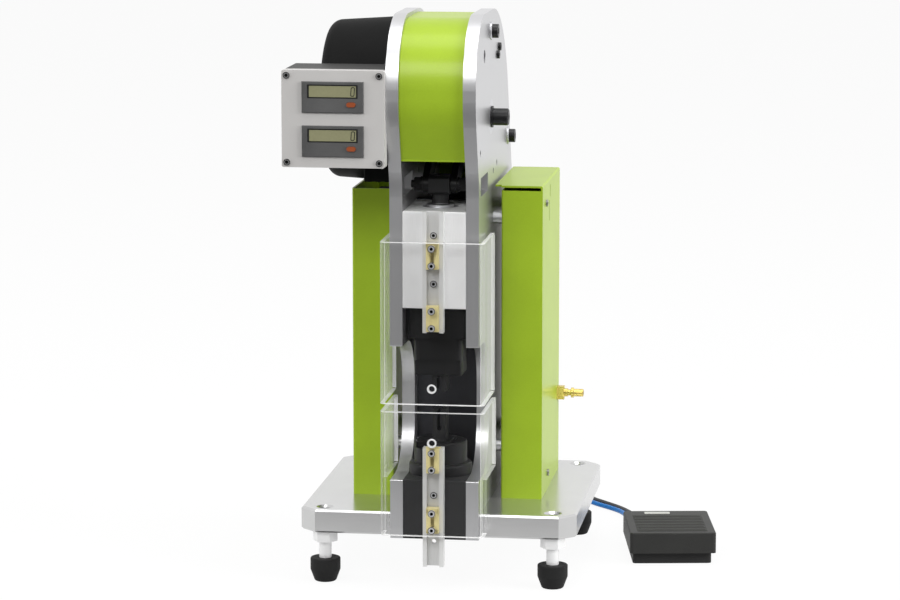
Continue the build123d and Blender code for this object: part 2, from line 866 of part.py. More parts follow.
# ---------------------------------------------------------------- covers between the plates
def plate_band(inset, thickness):
    """A closed band that follows the inside of the side plate's outline."""
    outer = offset(plate_face(), -inset, kind=Kind.INTERSECTION)
    inner = offset(plate_face(), -inset - thickness, kind=Kind.INTERSECTION)
    return across(outer, (-half_gap, half_gap)) - across(inner, (-half_gap, half_gap))


def make_head_cover():
    """Bent sheet over the front, top and upper back of the head, with a lower front flange."""
    band = plate_band(cover_inset, cover_thickness)
    middle = front + plate_back_length / 2
    front_part = band & block(
        (-half_gap, half_gap), (front - head_forward, middle), (cover_front_floor, plate_top_height)
    )
    back_part = band & block(
        (-half_gap, half_gap), (middle, front + plate_back_length), (cover_back_floor, plate_top_height)
    )
    lip_start = front_part.bounding_box().min.Y
    low_edge = front_part & block(
        (-half_gap, half_gap), (lip_start, middle), (cover_front_floor, cover_front_floor + cover_thickness)
    )
    flange_front = low_edge.bounding_box().min.Y
    flange = block(
        (-half_gap, half_gap),
        (flange_front, flange_front + cover_flange),
        (cover_front_floor, cover_front_floor + cover_thickness),
    )
    return front_part + back_part + flange


def make_back_panel():
    """Flat panel that closes the back between the side plates, below the head cover."""
    back = front + plate_back_length - cover_inset
    return block(
        (-half_gap, half_gap), (back - cover_thickness, back), (base_top, cover_back_floor - back_panel_gap)
    )


def make_throat_web():
    """Black web plate between the side plates behind the throat."""
    start = front + throat_depth + web_setback
    return block((-half_gap, half_gap), (start, start + web_thickness), (base_top, guide_top))


def make_tie_rods():
    """Round spacers that hold the side plates apart."""
    return [
        rod_x(tie_rod_diameter / 2, (-half_gap, half_gap), front + setback, height)
        for setback, height in tie_rod_places
    ]


def make_plate_screws():
    """Screws on the outer faces of both side plates, where the motor's side leaves room."""
    screws = []
    cap_screw = socket_screw(cap_screw_diameter, cap_screw_height, cap_screw_socket)
    small_screw = socket_screw(small_screw_diameter, small_screw_height, small_screw_socket)
    for setback, height in cap_screw_places:
        screws.append(Pos(plate_outer, front + setback, height) * Rot(0, 90, 0) * cap_screw)
    for setback, rise in small_screw_places:
        place = Pos(plate_outer, front + setback, shaft_height + rise)
        screws.append(place * Rot(0, 90, 0) * small_screw)
    pivot_screw = Rot(0, -90, 0) * cap_screw
    screws.append(Pos(-plate_outer, pivot_y, lever_pivot_height) * pivot_screw)
    return screws


# ---------------------------------------------------------------- counter box
counter_box_right = -plate_outer
counter_box_left = counter_box_right - counter_box_width
counter_box_middle = (counter_box_left + counter_box_right) / 2
counter_box_floor = shaft_height - counter_box_drop
counter_box_top = counter_box_floor + counter_box_height
counter_front_y = front + counter_box_front
counter_heights = [
    counter_box_floor + counter_box_height / 2 + side * counter_spacing / 2 for side in (-1, 1)
]


def make_counter_case():
    """Back half of the counter box, open to the front."""
    back = counter_front_y + counter_box_depth
    case = block(
        (counter_box_left, counter_box_right),
        (counter_front_y + counter_lid_depth, back),
        (counter_box_floor, counter_box_top),
    )
    case = fillet(case.edges().filter_by(Axis.Y), counter_box_corner)
    return case - block(
        (counter_box_left + counter_box_wall, counter_box_right - counter_box_wall),
        (counter_front_y + counter_lid_depth, back - counter_box_wall),
        (counter_box_floor + counter_box_wall, counter_box_top - counter_box_wall),
    )


def make_counter_lid():
    """Front lid of the counter box with two rectangular cut-outs."""
    lid_back = counter_front_y + counter_lid_depth
    lid = block(
        (counter_box_left, counter_box_right),
        (counter_front_y, lid_back),
        (counter_box_floor, counter_box_top),
    )
    lid = fillet(lid.edges().filter_by(Axis.Y), counter_box_corner)
    lid -= block(
        (counter_box_left + counter_lid_rim_x, counter_box_right - counter_lid_rim_x),
        (counter_front_y + counter_box_wall, lid_back),
        (counter_box_floor + counter_lid_rim_z, counter_box_top - counter_lid_rim_z),
    )
    for height in counter_heights:
        lid -= block(
            (counter_box_middle - counter_body_width / 2, counter_box_middle + counter_body_width / 2),
            (counter_front_y, lid_back),
            (height - counter_body_height / 2, height + counter_body_height / 2),
        )
    return lid


def make_counter(height):
    """Panel counter: bezel with a recessed screen and a button hole, and its body behind."""
    bezel = block(
        (counter_box_middle - counter_width / 2, counter_box_middle + counter_width / 2),
        (counter_front_y - counter_bezel, counter_front_y),
        (height - counter_height / 2, height + counter_height / 2),
    )
    bezel = chamfer(bezel.faces().sort_by(Axis.Y)[0].edges(), counter_bezel_edge)
    body = block(
        (counter_box_middle - counter_body_width / 2, counter_box_middle + counter_body_width / 2),
        (counter_front_y, counter_front_y + counter_body_depth),
        (height - counter_body_height / 2, height + counter_body_height / 2),
    )
    screen_middle = height + counter_screen_lift
    screen = block(
        (counter_box_middle - counter_screen_width / 2, counter_box_middle + counter_screen_width / 2),
        (counter_front_y - counter_bezel, counter_front_y - counter_bezel + counter_screen_recess),
        (screen_middle - counter_screen_height / 2, screen_middle + counter_screen_height / 2),
    )
    well_end = counter_front_y + button_well_depth
    pocket = button_shape(height, counter_front_y - counter_bezel, well_end, button_gap)
    return bezel + body - screen - pocket


def button_shape(height, y_start, y_end, margin):
    """Slot-shaped prism of the reset button, grown by a margin."""
    profile = SlotOverall(button_width + 2 * margin, button_height + 2 * margin)
    prism = extrude(Plane.XZ * profile, -(y_end - y_start))
    return Pos(counter_box_middle + button_offset_x, y_start, height + button_offset_z) * prism


def make_button(height):
    """Reset button standing proud of the bezel, free to travel inwards."""
    start = counter_front_y - counter_bezel - button_proud
    end = counter_front_y + button_well_depth - button_travel - button_end_gap
    return button_shape(height, start, end, 0)


def make_lid_screws():
    """Four screws in the corners of the counter box lid."""
    screws = []
    for x in (counter_box_left + lid_screw_inset, counter_box_right - lid_screw_inset):
        for z in (counter_box_floor + lid_screw_inset, counter_box_top - lid_screw_inset):
            screw = Rot(90, 0, 0) * socket_screw(lid_screw_diameter, lid_screw_height, lid_screw_socket)
            screws.append(Pos(x, counter_front_y, z) * screw)
    return screws


# ---------------------------------------------------------------- rails, guards and clamps
def make_rail(floor, hole_heights):
    """Channel rail with a groove down each inner side and its fixing holes."""
    half = rail_width / 2
    half_channel = rail_channel_width / 2
    half_groove = rail_groove_width / 2
    groove_front = rail_groove_inset
    groove_back = rail_groove_inset + rail_groove_depth
    points = [
        (-half, rail_depth), (-half, 0), (-half_channel, 0), (-half_channel, groove_front),
        (-half_groove, groove_front), (-half_groove, groove_back), (-half_channel, groove_back),
        (-half_channel, rail_channel_depth),
    ]
    mirrored = [(-x, y) for x, y in reversed(points)]
    profile = make_face(Polyline(*points, *mirrored, close=True))
    rail = Pos(0, front - rail_depth, floor) * extrude(profile, rail_length)
    for height in hole_heights:
        rail -= rod_y(rail_hole_diameter / 2, (front - rail_depth, front), 0, height)
    return rail


def make_rail_screws():
    """Low-headed screws on the channel floors of both rails."""
    screws = []
    head_back = front - rail_depth + rail_channel_depth
    for height in upper_rail_hole_heights + lower_rail_hole_heights[:1]:
        screw = Rot(90, 0, 0) * socket_screw(rail_screw_diameter, rail_screw_head, rail_screw_socket)
        shank = rod_y(rail_hole_diameter / 2, (head_back, front), 0, height)
        screws.append(Pos(0, head_back, height) * screw + shank)
    return screws


def guard_shell(floor, height):
    """U-shaped bent sheet, open to the back, standing on a floor height."""
    half = guard_width / 2
    start = front + guard_front
    deep = front + max(upper_guard_depth, lower_guard_depth)
    outer = Rectangle(guard_width, deep - start)
    outer = Pos(0, (deep + start) / 2) * outer
    front_corners = outer.vertices().sort_by(Axis.Y)[:2]
    outer = fillet(front_corners, guard_bend_radius)
    inner = Rectangle(guard_width - 2 * guard_thickness, deep - start - guard_thickness)
    inner = Pos(0, (deep + start + guard_thickness) / 2) * inner
    inner_corners = inner.vertices().sort_by(Axis.Y)[:2]
    inner = fillet(inner_corners, guard_bend_radius - guard_thickness)
    return extrude(Plane.XY.offset(floor) * (outer - inner), height)


def make_upper_guard():
    """Clear upper guard with plain rectangular wings."""
    top = upper_guard_floor + upper_guard_height
    outline = side_profile(
        [
            (front + guard_front, upper_guard_floor), (front + upper_guard_depth, upper_guard_floor),
            (front + upper_guard_depth, top), (front + guard_front, top),
        ],
        (0, guard_wing_corner, guard_wing_corner, 0),
    )
    guard = guard_shell(upper_guard_floor, upper_guard_height)
    guard &= across(outline, (-guard_width / 2, guard_width / 2))
    return drill_guard(guard, upper_clamp_heights, upper_guard_floor + upper_guard_hole_rise)


def make_lower_guard():
    """Clear lower guard, its wings cut back to a narrow return below the throat."""
    top = lower_guard_floor + lower_guard_height
    step_height = throat_floor_height + lower_guard_step_rise
    outline = side_profile(
        [
            (front + guard_front, lower_guard_floor), (front + lower_guard_return, lower_guard_floor),
            (front + lower_guard_return, step_height),
            (front + lower_guard_depth, step_height),
            (front + lower_guard_depth, top), (front + guard_front, top),
        ],
        (0, guard_wing_corner, guard_wing_corner, guard_wing_corner, guard_wing_corner, 0),
    )
    guard = guard_shell(lower_guard_floor, lower_guard_height)
    guard &= across(outline, (-guard_width / 2, guard_width / 2))
    return drill_guard(guard, lower_clamp_heights, lower_guard_floor + lower_guard_hole_rise)


def clamp_screw_heights(middles):
    """Heights of the two screws of each clamp."""
    return [middle + side * clamp_screw_spacing / 2 for middle in middles for side in (-1, 1)]


def drill_guard(guard, clamp_heights, hole_height):
    """Screw holes at each clamp and one larger spare hole."""
    span = (front + guard_front, front + guard_front + guard_thickness)
    for height in clamp_screw_heights(clamp_heights):
        guard -= rod_y(clamp_screw_diameter / 2, span, 0, height)
    return guard - rod_y(guard_hole_diameter / 2, span, 0, hole_height)


def make_clamp(middle):
    """Brass slide block with two tongues that run in the rail's grooves."""
    guard_back = front + guard_front + guard_thickness
    channel_floor = front - rail_depth + rail_channel_depth
    head_room = rail_screw_head + clamp_head_room
    z_range = (middle - clamp_height / 2, middle + clamp_height / 2)
    body = block((-clamp_width / 2, clamp_width / 2), (guard_back, channel_floor - head_room), z_range)
    tongue_front = front - rail_depth + rail_groove_inset + clamp_tongue_gap
    tongue = block(
        (-clamp_tongue_width / 2, clamp_tongue_width / 2),
        (tongue_front, tongue_front + clamp_tongue_thickness),
        z_range,
    )
    clamp = body + tongue
    for height in clamp_screw_heights([middle]):
        clamp -= rod_y(clamp_screw_diameter / 2, (guard_back, channel_floor), 0, height)
    return clamp


def make_clamp_screw(height):
    """Cap screw through the guard into its brass clamp."""
    start = front + guard_front
    shank_end = front - rail_depth + rail_channel_depth - rail_screw_head - clamp_screw_end_gap
    head = Rot(90, 0, 0) * socket_screw(clamp_head_diameter, clamp_head_height, clamp_screw_socket)
    shank = rod_y(clamp_screw_diameter / 2, (start, shank_end), 0, height)
    return Pos(0, start, height) * head + shank


# ---------------------------------------------------------------- side boxes
box_y_range = (box_front_y, box_back_y)


def make_left_box():
    """Sheet-metal box on the left, open at the top."""
    outer_x = (-box_outer_side, -box_inner_side)
    body = block(outer_x, box_y_range, (base_top, box_top))
    body = fillet(body.edges().filter_by(Axis.Z), box_bend_radius)
    return body - block(
        (outer_x[0] + box_wall, outer_x[1] - box_wall),
        (box_y_range[0] + box_wall, box_y_range[1] - box_wall),
        (base_top + box_wall, box_top),
    )


def make_control_unit():
    """Control unit standing inside the left box."""
    inset = box_wall + unit_clearance
    outer_x = (-box_outer_side, -box_inner_side)
    return block(
        (outer_x[0] + inset, outer_x[1] - inset),
        (box_y_range[0] + inset, box_y_range[1] - inset),
        (base_top + box_wall, box_top - unit_headroom),
    )


def make_right_box():
    """Sheet-metal tray on the right: front, inner side, back and floor."""
    x_range = (box_inner_side, box_outer_side - box_wall)
    body = block(x_range, box_y_range, (base_top, box_top))
    edges = body.edges().filter_by(Axis.Z).sort_by(Axis.X)[:2]
    body = fillet(edges, box_bend_radius)
    return body - block(
        (x_range[0] + box_wall, x_range[1]),
        (box_y_range[0] + box_wall, box_y_range[1] - box_wall),
        (base_top + box_wall, box_top),
    )


def make_right_cover():
    """Cover of the right box: a notched top, its outer side, two slits and the plug's hole."""
    inside = box_inner_side - cover_side_reach
    lip_floor = box_top + cover_lip_gap
    top = lip_floor + box_wall
    wall = (box_outer_side - box_wall, box_outer_side)
    cover = block(wall, box_y_range, (base_top, top))
    cover += block((inside, box_outer_side), box_y_range, (lip_floor, top))
    cover = fillet(cover.edges().filter_by(Axis.Y).sort_by(SortBy.DISTANCE)[-1:], box_bend_radius)
    notch_end = box_front_y + cover_notch_depth
    cover -= block((inside, box_inner_side), (box_front_y, notch_end), (lip_floor, top))
    for inset, high, low in (cover_upper_slot, cover_lower_slot):
        middle = box_front_y + inset
        slot = (middle - cover_slot_width / 2, middle + cover_slot_width / 2)
        cover -= block(wall, slot, (box_top - low, box_top - high))
    return cover - rod_x(air_plug_shank_diameter / 2, wall, plug_y, air_plug_height)


def make_standoffs():
    """Round standoffs between the side plates and the boxes."""
    standoffs = []
    for side in (-1, 1):
        span = sorted((side * plate_outer, side * box_inner_side))
        for y in (box_front_y + standoff_inset, box_back_y - standoff_inset):
            for z in (base_top + standoff_rise, box_top - standoff_drop):
                standoffs.append(rod_x(standoff_diameter / 2, span, y, z))
    return standoffs


def make_cover_screws():
    """Screws in the outer side of the right box's cover."""
    screw = Rot(0, 90, 0) * socket_screw(cover_screw_diameter, cover_screw_height, cover_screw_socket)
    heights = (box_top - cover_screw_drop, base_top + cover_screw_rise)
    return [
        Pos(box_outer_side, box_front_y + inset, height) * screw
        for inset, height in zip(cover_screw_insets, heights)
    ]


def make_air_plug():
    """Brass compressed-air plug with a hexagon, screwed through the cover's side."""
    profile = Plane.YZ * RegularPolygon(air_plug_flats / 2, 6, major_radius=False)
    hexagon = extrude(profile, air_plug_hexagon_length, dir=(1, 0, 0))
    waist_start = air_plug_collar_length
    ring_start = waist_start + air_plug_waist_length
    ring_end = ring_start + air_plug_ring_length
    outline = FilletPolyline(
        (0, 0), (0, air_plug_collar_radius), (waist_start, air_plug_collar_radius),
        (waist_start, air_plug_waist_radius), (ring_start, air_plug_waist_radius),
        (ring_start, air_plug_ring_radius), (ring_end, air_plug_ring_radius),
        (ring_end, air_plug_tip_radius), (air_plug_length, air_plug_tip_radius), (air_plug_length, 0),
        radius=(0, 0, 0, 0, 0, air_plug_ring_round, air_plug_ring_round, 0, air_plug_tip_round, 0),
        close=True,
    )
    stem = Pos(air_plug_hexagon_length, 0, 0) * revolve(Plane.XZ * make_face(outline), Axis.X)
    shank = rod_x(air_plug_shank_diameter / 2, (-air_plug_shank_length, 0), 0, 0)
    end = air_plug_hexagon_length + air_plug_length
    bore = rod_x(air_plug_bore_diameter / 2, (-air_plug_shank_length, end), 0, 0)
    return Pos(box_outer_side, plug_y, air_plug_height) * (hexagon + stem + shank - bore)


# ---------------------------------------------------------------- foot pedal
pedal_place = Pos(pedal_x, pedal_y, 0) * Rot(0, 0, pedal_turn)
pedal_inset = (pedal_width - pedal_base_width) / 2
pedal_hinge_y = pedal_depth - pedal_hinge_inset
pedal_back = pedal_depth - pedal_back_inset


def make_pedal_base():
    """Floor housing of the pedal, raised at the back where the hinge pin runs through."""
    sides = (pedal_inset, pedal_width - pedal_inset)
    body = block(sides, (pedal_front_inset, pedal_back), (0, pedal_base_height))
    rear_top = pedal_hinge_height + pedal_pin_diameter
    rear = block(sides, (pedal_hinge_y - pedal_hinge_inset, pedal_back), (0, rear_top))
    body = fillet((body + rear).edges().filter_by(Axis.Z), pedal_corner_radius)
    return pedal_place * (body - rod_x(pedal_pin_diameter / 2, sides, pedal_hinge_y, pedal_hinge_height))


def make_pedal_pin():
    """Hinge pin through the base and both sides of the treadle."""
    span = (pedal_pin_end_gap, pedal_width - pedal_pin_end_gap)
    return pedal_place * rod_x(pedal_pin_diameter / 2, span, pedal_hinge_y, pedal_hinge_height)


def make_pedal_treadle():
    """Hollow grooved treadle over the base, open at the back, its front edge free to move down."""
    shell = block((0, pedal_width), (0, pedal_depth), (pedal_skirt_floor, pedal_height))
    shell = fillet(shell.edges().filter_by(Axis.Z), pedal_corner_radius)
    shell = fillet(shell.faces().sort_by(Axis.Z)[-1].edges(), pedal_edge_round)
    groove_pitch = pedal_groove_reach / pedal_groove_count
    for index in range(pedal_groove_count):
        start = pedal_groove_rim + index * groove_pitch
        shell -= block(
            (pedal_groove_rim, pedal_width - pedal_groove_rim),
            (start, start + pedal_groove_width),
            (pedal_height - pedal_groove_depth, pedal_height),
        )
    shell -= block(
        (pedal_wall, pedal_width - pedal_wall),
        (pedal_wall, pedal_depth),
        (pedal_skirt_floor, pedal_height - pedal_pad_thickness),
    )
    bore = pedal_pin_diameter / 2 + running_gap
    return pedal_place * (shell - rod_x(bore, (0, pedal_width), pedal_hinge_y, pedal_hinge_height))


# ---------------------------------------------------------------- air line and signal line
def make_line_glands():
    """Push-in glands: two on the back of the right box and two on the back of the pedal."""
    glands = []
    span = (box_back_y, box_back_y + line_gland_length)
    for height in line_box_heights:
        glands.append(rod_y(line_gland_diameter / 2, span, line_box_x, height))
    for offset in line_pedal_offsets:
        span = (pedal_back, pedal_back + line_gland_length)
        glands.append(pedal_place * rod_y(line_gland_diameter / 2, span, offset, line_pedal_height))
    return glands


def bend_radii(points):
    """The largest bend at each inner point that its two straight runs allow."""
    radii = []
    for before, here, after in zip(points, points[1:], points[2:]):
        arriving = Vector(*here) - Vector(*before)
        leaving = Vector(*after) - Vector(*here)
        half_turn = math.radians(arriving.get_angle(leaving)) / 2
        radii.append(line_bend_share * min(arriving.length, leaving.length) / math.tan(half_turn))
    return radii


def make_line(points):
    """Round flexible line of straight runs joined by tangent bends."""
    radii = bend_radii(points)
    print("bend radii in mm:", [round(radius, 1) for radius in radii])
    route = FilletPolyline(*points, radius=radii)
    section = Plane(origin=points[0], z_dir=route % 0) * Circle(line_diameter / 2)
    return sweep(section, path=route)


def make_coil(place):
    """Outer shape of a coiled stretch of line lying on the floor."""
    middle = line_coil_diameter / 2
    half = line_coil_thickness / 2
    ring = rod_z(middle + half, (0, line_coil_height), *place)
    return ring - rod_z(middle - half, (0, line_coil_height), *place)


line_low = line_diameter / 2
air_coil_place = (10.0, 225.0)
signal_coil_place = (-46.0, 225.0)


def box_gland_end(height):
    """Where a line leaves its gland on the right box."""
    return (line_box_x, box_back_y + line_gland_length, height)


def pedal_gland_end(offset):
    """Where a line enters its gland on the pedal."""
    place = pedal_place * Pos(offset, pedal_back + line_gland_length, line_pedal_height)
    return tuple(place.position)


def air_line_routes():
    """Points of the air line: from the right box to its coil, and from its coil to the pedal."""
    to_coil = [
        box_gland_end(line_box_heights[0]), (60.0, 116.0, 84.0), (61.0, 143.0, 56.0),
        (55.0, 164.0, 22.0), (40.0, 186.0, line_low), (34.1, 214.0, line_low),
    ]
    to_pedal = [
        (34.1, 236.0, 6.4), (34.5, 262.0, 3.0), (48.0, 284.0, line_low), (68.0, 266.0, line_low),
        (82.0, 226.0, line_low), (94.5, 206.0, line_low), (110.0, 190.0, line_low),
        (124.0, 172.0, line_low), (133.0, 138.0, line_low), (134.8, 103.0, 6.5),
        pedal_gland_end(line_pedal_offsets[0]),
    ]
    return [to_coil, to_pedal]


def signal_line_routes():
    """Points of the signal line: from the right box to its coil, and from its coil to the pedal."""
    to_coil = [
        box_gland_end(line_box_heights[1]), (60.0, 116.0, 98.0), (44.0, 144.0, 76.0),
        (22.0, 160.0, 46.0), (0.0, 176.0, 18.0), (-16.0, 197.0, 4.0), (-21.9, 214.0, line_low),
    ]
    to_pedal = [
        (-21.9, 236.0, 6.4), (-21.0, 262.0, 3.0), (-4.0, 284.0, line_low), (30.0, 298.0, line_low),
        (62.0, 294.0, line_low), (79.0, 262.0, line_low), (90.0, 225.0, line_low),
        (104.0, 208.5, line_low), (124.6, 183.0, line_low), (139.0, 148.0, line_low),
        (143.2, 104.5, 6.5), pedal_gland_end(line_pedal_offsets[1]),
    ]
    return [to_coil, to_pedal]


# ---------------------------------------------------------------- write every node
keep("base_plate", make_base_plate())
keep("foot_rubbers", *[make_foot_rubber(x, y) for x, y in corner_places()])
foot_studs = [make_foot_stud(x, y) for x, y in corner_places()]
foot_nuts = [make_foot_nut(x, y) for x, y in corner_places()]
keep("foot_studs", *foot_studs, *foot_nuts)
keep("side_plate_left", make_side_plate(-1))
keep("side_plate_right", make_side_plate(1))
keep("shaft_bearings", make_bearing(-1), make_bearing(1))
keep("tie_rods", *make_tie_rods())
keep("plate_screws", *make_plate_screws())
keep("guide_block", make_guide_block())
keep("guide_bush", make_guide_bush())
keep("ram", make_ram())
keep("cross_pin", make_cross_pin())
keep("tool_holder", make_tool_holder())
keep("punch", make_punch())
keep("anvil_block", make_anvil())
keep("die_holder", make_die_holder())
keep("die", make_die())
keep("throat_web", make_throat_web())
keep("main_shaft", make_main_shaft())
keep("cam", make_cam())
keep("lever", make_lever())
keep("lever_roller", make_lever_roller())
keep("roller_pin", make_roller_pin())
keep("lever_pin", make_lever_pin())
keep("gearbox", make_gearbox())
keep("motor", make_motor())
keep("motor_cover", make_motor_cover())
keep("cable_block", make_cable_block())
keep("head_cover", make_head_cover())
keep("back_panel", make_back_panel())
keep("counter_case", make_counter_case())
keep("counter_lid", make_counter_lid())
keep("lower_counter", make_counter(counter_heights[0]))
keep("upper_counter", make_counter(counter_heights[1]))
keep("lower_reset_button", make_button(counter_heights[0]))
keep("upper_reset_button", make_button(counter_heights[1]))
keep("upper_rail", make_rail(upper_rail_floor, upper_rail_hole_heights))
keep("lower_rail", make_rail(lower_rail_floor, lower_rail_hole_heights))
keep("rail_screws", *make_rail_screws())
keep("upper_guard", make_upper_guard())
keep("lower_guard", make_lower_guard())
keep("upper_clamps", *[make_clamp(middle) for middle in upper_clamp_heights])
keep("lower_clamps", *[make_clamp(middle) for middle in lower_clamp_heights])
keep("upper_clamp_screws", *[make_clamp_screw(z) for z in clamp_screw_heights(upper_clamp_heights)])
keep("lower_clamp_screws", *[make_clamp_screw(z) for z in clamp_screw_heights(lower_clamp_heights)])
keep("left_box", make_left_box())
keep("control_unit", make_control_unit())
keep("right_box", make_right_box())
keep("right_box_cover", make_right_cover())
keep("box_standoffs", *make_standoffs())
keep("cover_screws", *make_lid_screws(), *make_cover_screws())
keep("air_plug", make_air_plug())
keep("pedal_base", make_pedal_base())
keep("pedal_pin", make_pedal_pin())
keep("pedal_treadle", make_pedal_treadle())
keep("line_glands", *make_line_glands())
keep("air_line", *[make_line(points) for points in air_line_routes()])
keep("signal_line", *[make_line(points) for points in signal_line_routes()])
keep("air_coil", make_coil(air_coil_place))
keep("signal_coil", make_coil(signal_coil_place))
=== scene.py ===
import json
import logging
import math
from collections.abc import Sequence
from dataclasses import dataclass
from enum import Enum

import bmesh
import bpy
import numpy as np
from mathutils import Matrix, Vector


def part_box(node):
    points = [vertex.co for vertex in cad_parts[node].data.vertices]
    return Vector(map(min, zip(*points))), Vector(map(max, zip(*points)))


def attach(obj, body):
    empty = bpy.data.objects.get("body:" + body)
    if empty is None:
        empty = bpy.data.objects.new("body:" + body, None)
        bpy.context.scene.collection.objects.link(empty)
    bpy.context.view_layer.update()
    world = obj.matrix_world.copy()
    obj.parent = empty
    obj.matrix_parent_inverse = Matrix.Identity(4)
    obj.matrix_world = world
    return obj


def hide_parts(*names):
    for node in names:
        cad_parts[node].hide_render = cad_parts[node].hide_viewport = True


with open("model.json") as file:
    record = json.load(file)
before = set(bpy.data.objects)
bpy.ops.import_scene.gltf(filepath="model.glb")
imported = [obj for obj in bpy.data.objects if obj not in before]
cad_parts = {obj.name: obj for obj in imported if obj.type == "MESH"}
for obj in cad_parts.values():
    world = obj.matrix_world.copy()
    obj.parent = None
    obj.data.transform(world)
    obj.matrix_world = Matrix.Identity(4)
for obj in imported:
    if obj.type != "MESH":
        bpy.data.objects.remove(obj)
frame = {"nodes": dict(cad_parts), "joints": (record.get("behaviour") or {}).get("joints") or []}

LOG = logging.getLogger("crimping_machine")
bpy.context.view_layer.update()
MM = 0.001
HAIR = 0.02  # millimetres between a laid-on piece and the face under it
PIECE_WELD = 1e-7  # metres within which points of a new mesh are joined
NODE_WELD = 1e-6  # metres within which points of a CAD node are joined
SOFT_ANGLE = math.radians(40.0)  # CAD edges sharper than this can be rounded

Span = tuple[float, float]
Point = tuple[float, float, float]
Colour = tuple[float, float, float]
Value = float | tuple[float, ...] | bpy.types.NodeSocket
WHITE = (1.0, 1.0, 1.0, 1.0)


def linear(red: int, green: int, blue: int) -> Colour:
    """Turn a colour from 0 to 255 on screen into linear light.

    Args:
        red: red, 0 to 255.
        green: green, 0 to 255.
        blue: blue, 0 to 255.

    Returns:
        The same colour as three linear values from 0 to 1.
    """
    screen = np.array([red, green, blue], float) / 255.0
    low = screen / 12.92
    high = ((screen + 0.055) / 1.055) ** 2.4
    return tuple(float(v) for v in np.where(screen <= 0.04045, low, high))


def grey(level: int) -> Colour:
    """Turn a neutral grey from 0 to 255 on screen into linear light."""
    return linear(level, level, level)


class Wiring:
    """The node tree of a material or of the world, with short ways to add what this scene needs."""

    def __init__(self, owner: bpy.types.Material | bpy.types.World) -> None:
        """Turn the owner's nodes on and keep its tree at hand.

        Args:
            owner: the material or the world.
        """
        owner.use_nodes = True
        self.nodes = owner.node_tree.nodes
        self.links = owner.node_tree.links

    @property
    def shader(self) -> bpy.types.Node:
        """The surface shader that a new material starts with."""
        return self.nodes["Principled BSDF"]

    def feed(self, node: bpy.types.Node, values: dict[str | int, Value]) -> None:
        """Set a node's inputs.

        Args:
            node: the node.
            values: for each input, a plain value or the socket that supplies it.
        """
        for name, value in values.items():
            if isinstance(value, bpy.types.NodeSocket):
                self.links.new(value, node.inputs[name])
            else:
                node.inputs[name].default_value = value

    def add(self, kind: str, values: dict[str | int, Value], **settings: str) -> bpy.types.Node:
        """Add a node.

        Args:
            kind: the node's type.
            values: its inputs, as feed takes them.
            **settings: its own settings, such as its operation.

        Returns:
            The new node.
        """
        node = self.nodes.new(kind)
        for name, setting in settings.items():
            setattr(node, name, setting)
        self.feed(node, values)
        return node

    def coordinates(self, kind: str = "Object") -> bpy.types.NodeSocket:
        """Coordinates of one kind."""
        return self.add("ShaderNodeTexCoord", {}).outputs[kind]

    def axes(self, kind: str = "Object") -> bpy.types.NodeOutputs:
        """Coordinates of one kind as three sockets: X, Y and Z."""
        return self.add("ShaderNodeSeparateXYZ", {"Vector": self.coordinates(kind)}).outputs

    def rays(self) -> bpy.types.NodeOutputs:
        """Sockets that tell what kind of ray arrives."""
        return self.add("ShaderNodeLightPath", {}).outputs

    def noise(self, place: bpy.types.NodeSocket, scale: float, detail: float) -> bpy.types.NodeSocket:
        """Noise from 0 to 1 of one scale and detail."""
        values = {"Vector": place, "Scale": scale, "Detail": detail}
        return self.add("ShaderNodeTexNoise", values).outputs["Fac"]

    def calculate(self, operation: str, *values: Value) -> bpy.types.NodeSocket:
        """Work one sum out of two or three values."""
        return self.add("ShaderNodeMath", dict(enumerate(values)), operation=operation).outputs["Value"]

    def remap(self, value: Value, result: Span, source: Span = (0.0, 1.0)) -> bpy.types.NodeSocket:
        """Stretch a value from one span to another, held at both ends.

        Args:
            value: the value.
            result: where the source's ends come out.
            source: the span that counts.

        Returns:
            The socket that carries the stretched value.
        """
        ends = {"From Min": source[0], "From Max": source[1], "To Min": result[0], "To Max": result[1]}
        return self.add("ShaderNodeMapRange", {"Value": value, **ends}).outputs["Result"]

    def mix(self, share: Value, first: Value, second: Value, kind: str = "RGBA") -> bpy.types.NodeSocket:
        """Mix two values.

        Args:
            share: how much of the second one counts.
            first: the first value.
            second: the second value.
            kind: "RGBA" for colours, "FLOAT" for numbers.

        Returns:
            The socket that carries the mixture.
        """
        values = {"Factor": share, "A": first, "B": second}
        return self.add("ShaderNodeMix", values, data_type=kind).outputs["Result"]


# --- finishes
class Grain(Enum):
    """How a finish's fine pattern is stretched along X, Y and Z."""

    EVEN = (1.0, 1.0, 1.0)
    ALONG_X = (0.04, 1.0, 1.0)
    ALONG_Z = (1.0, 1.0, 0.04)


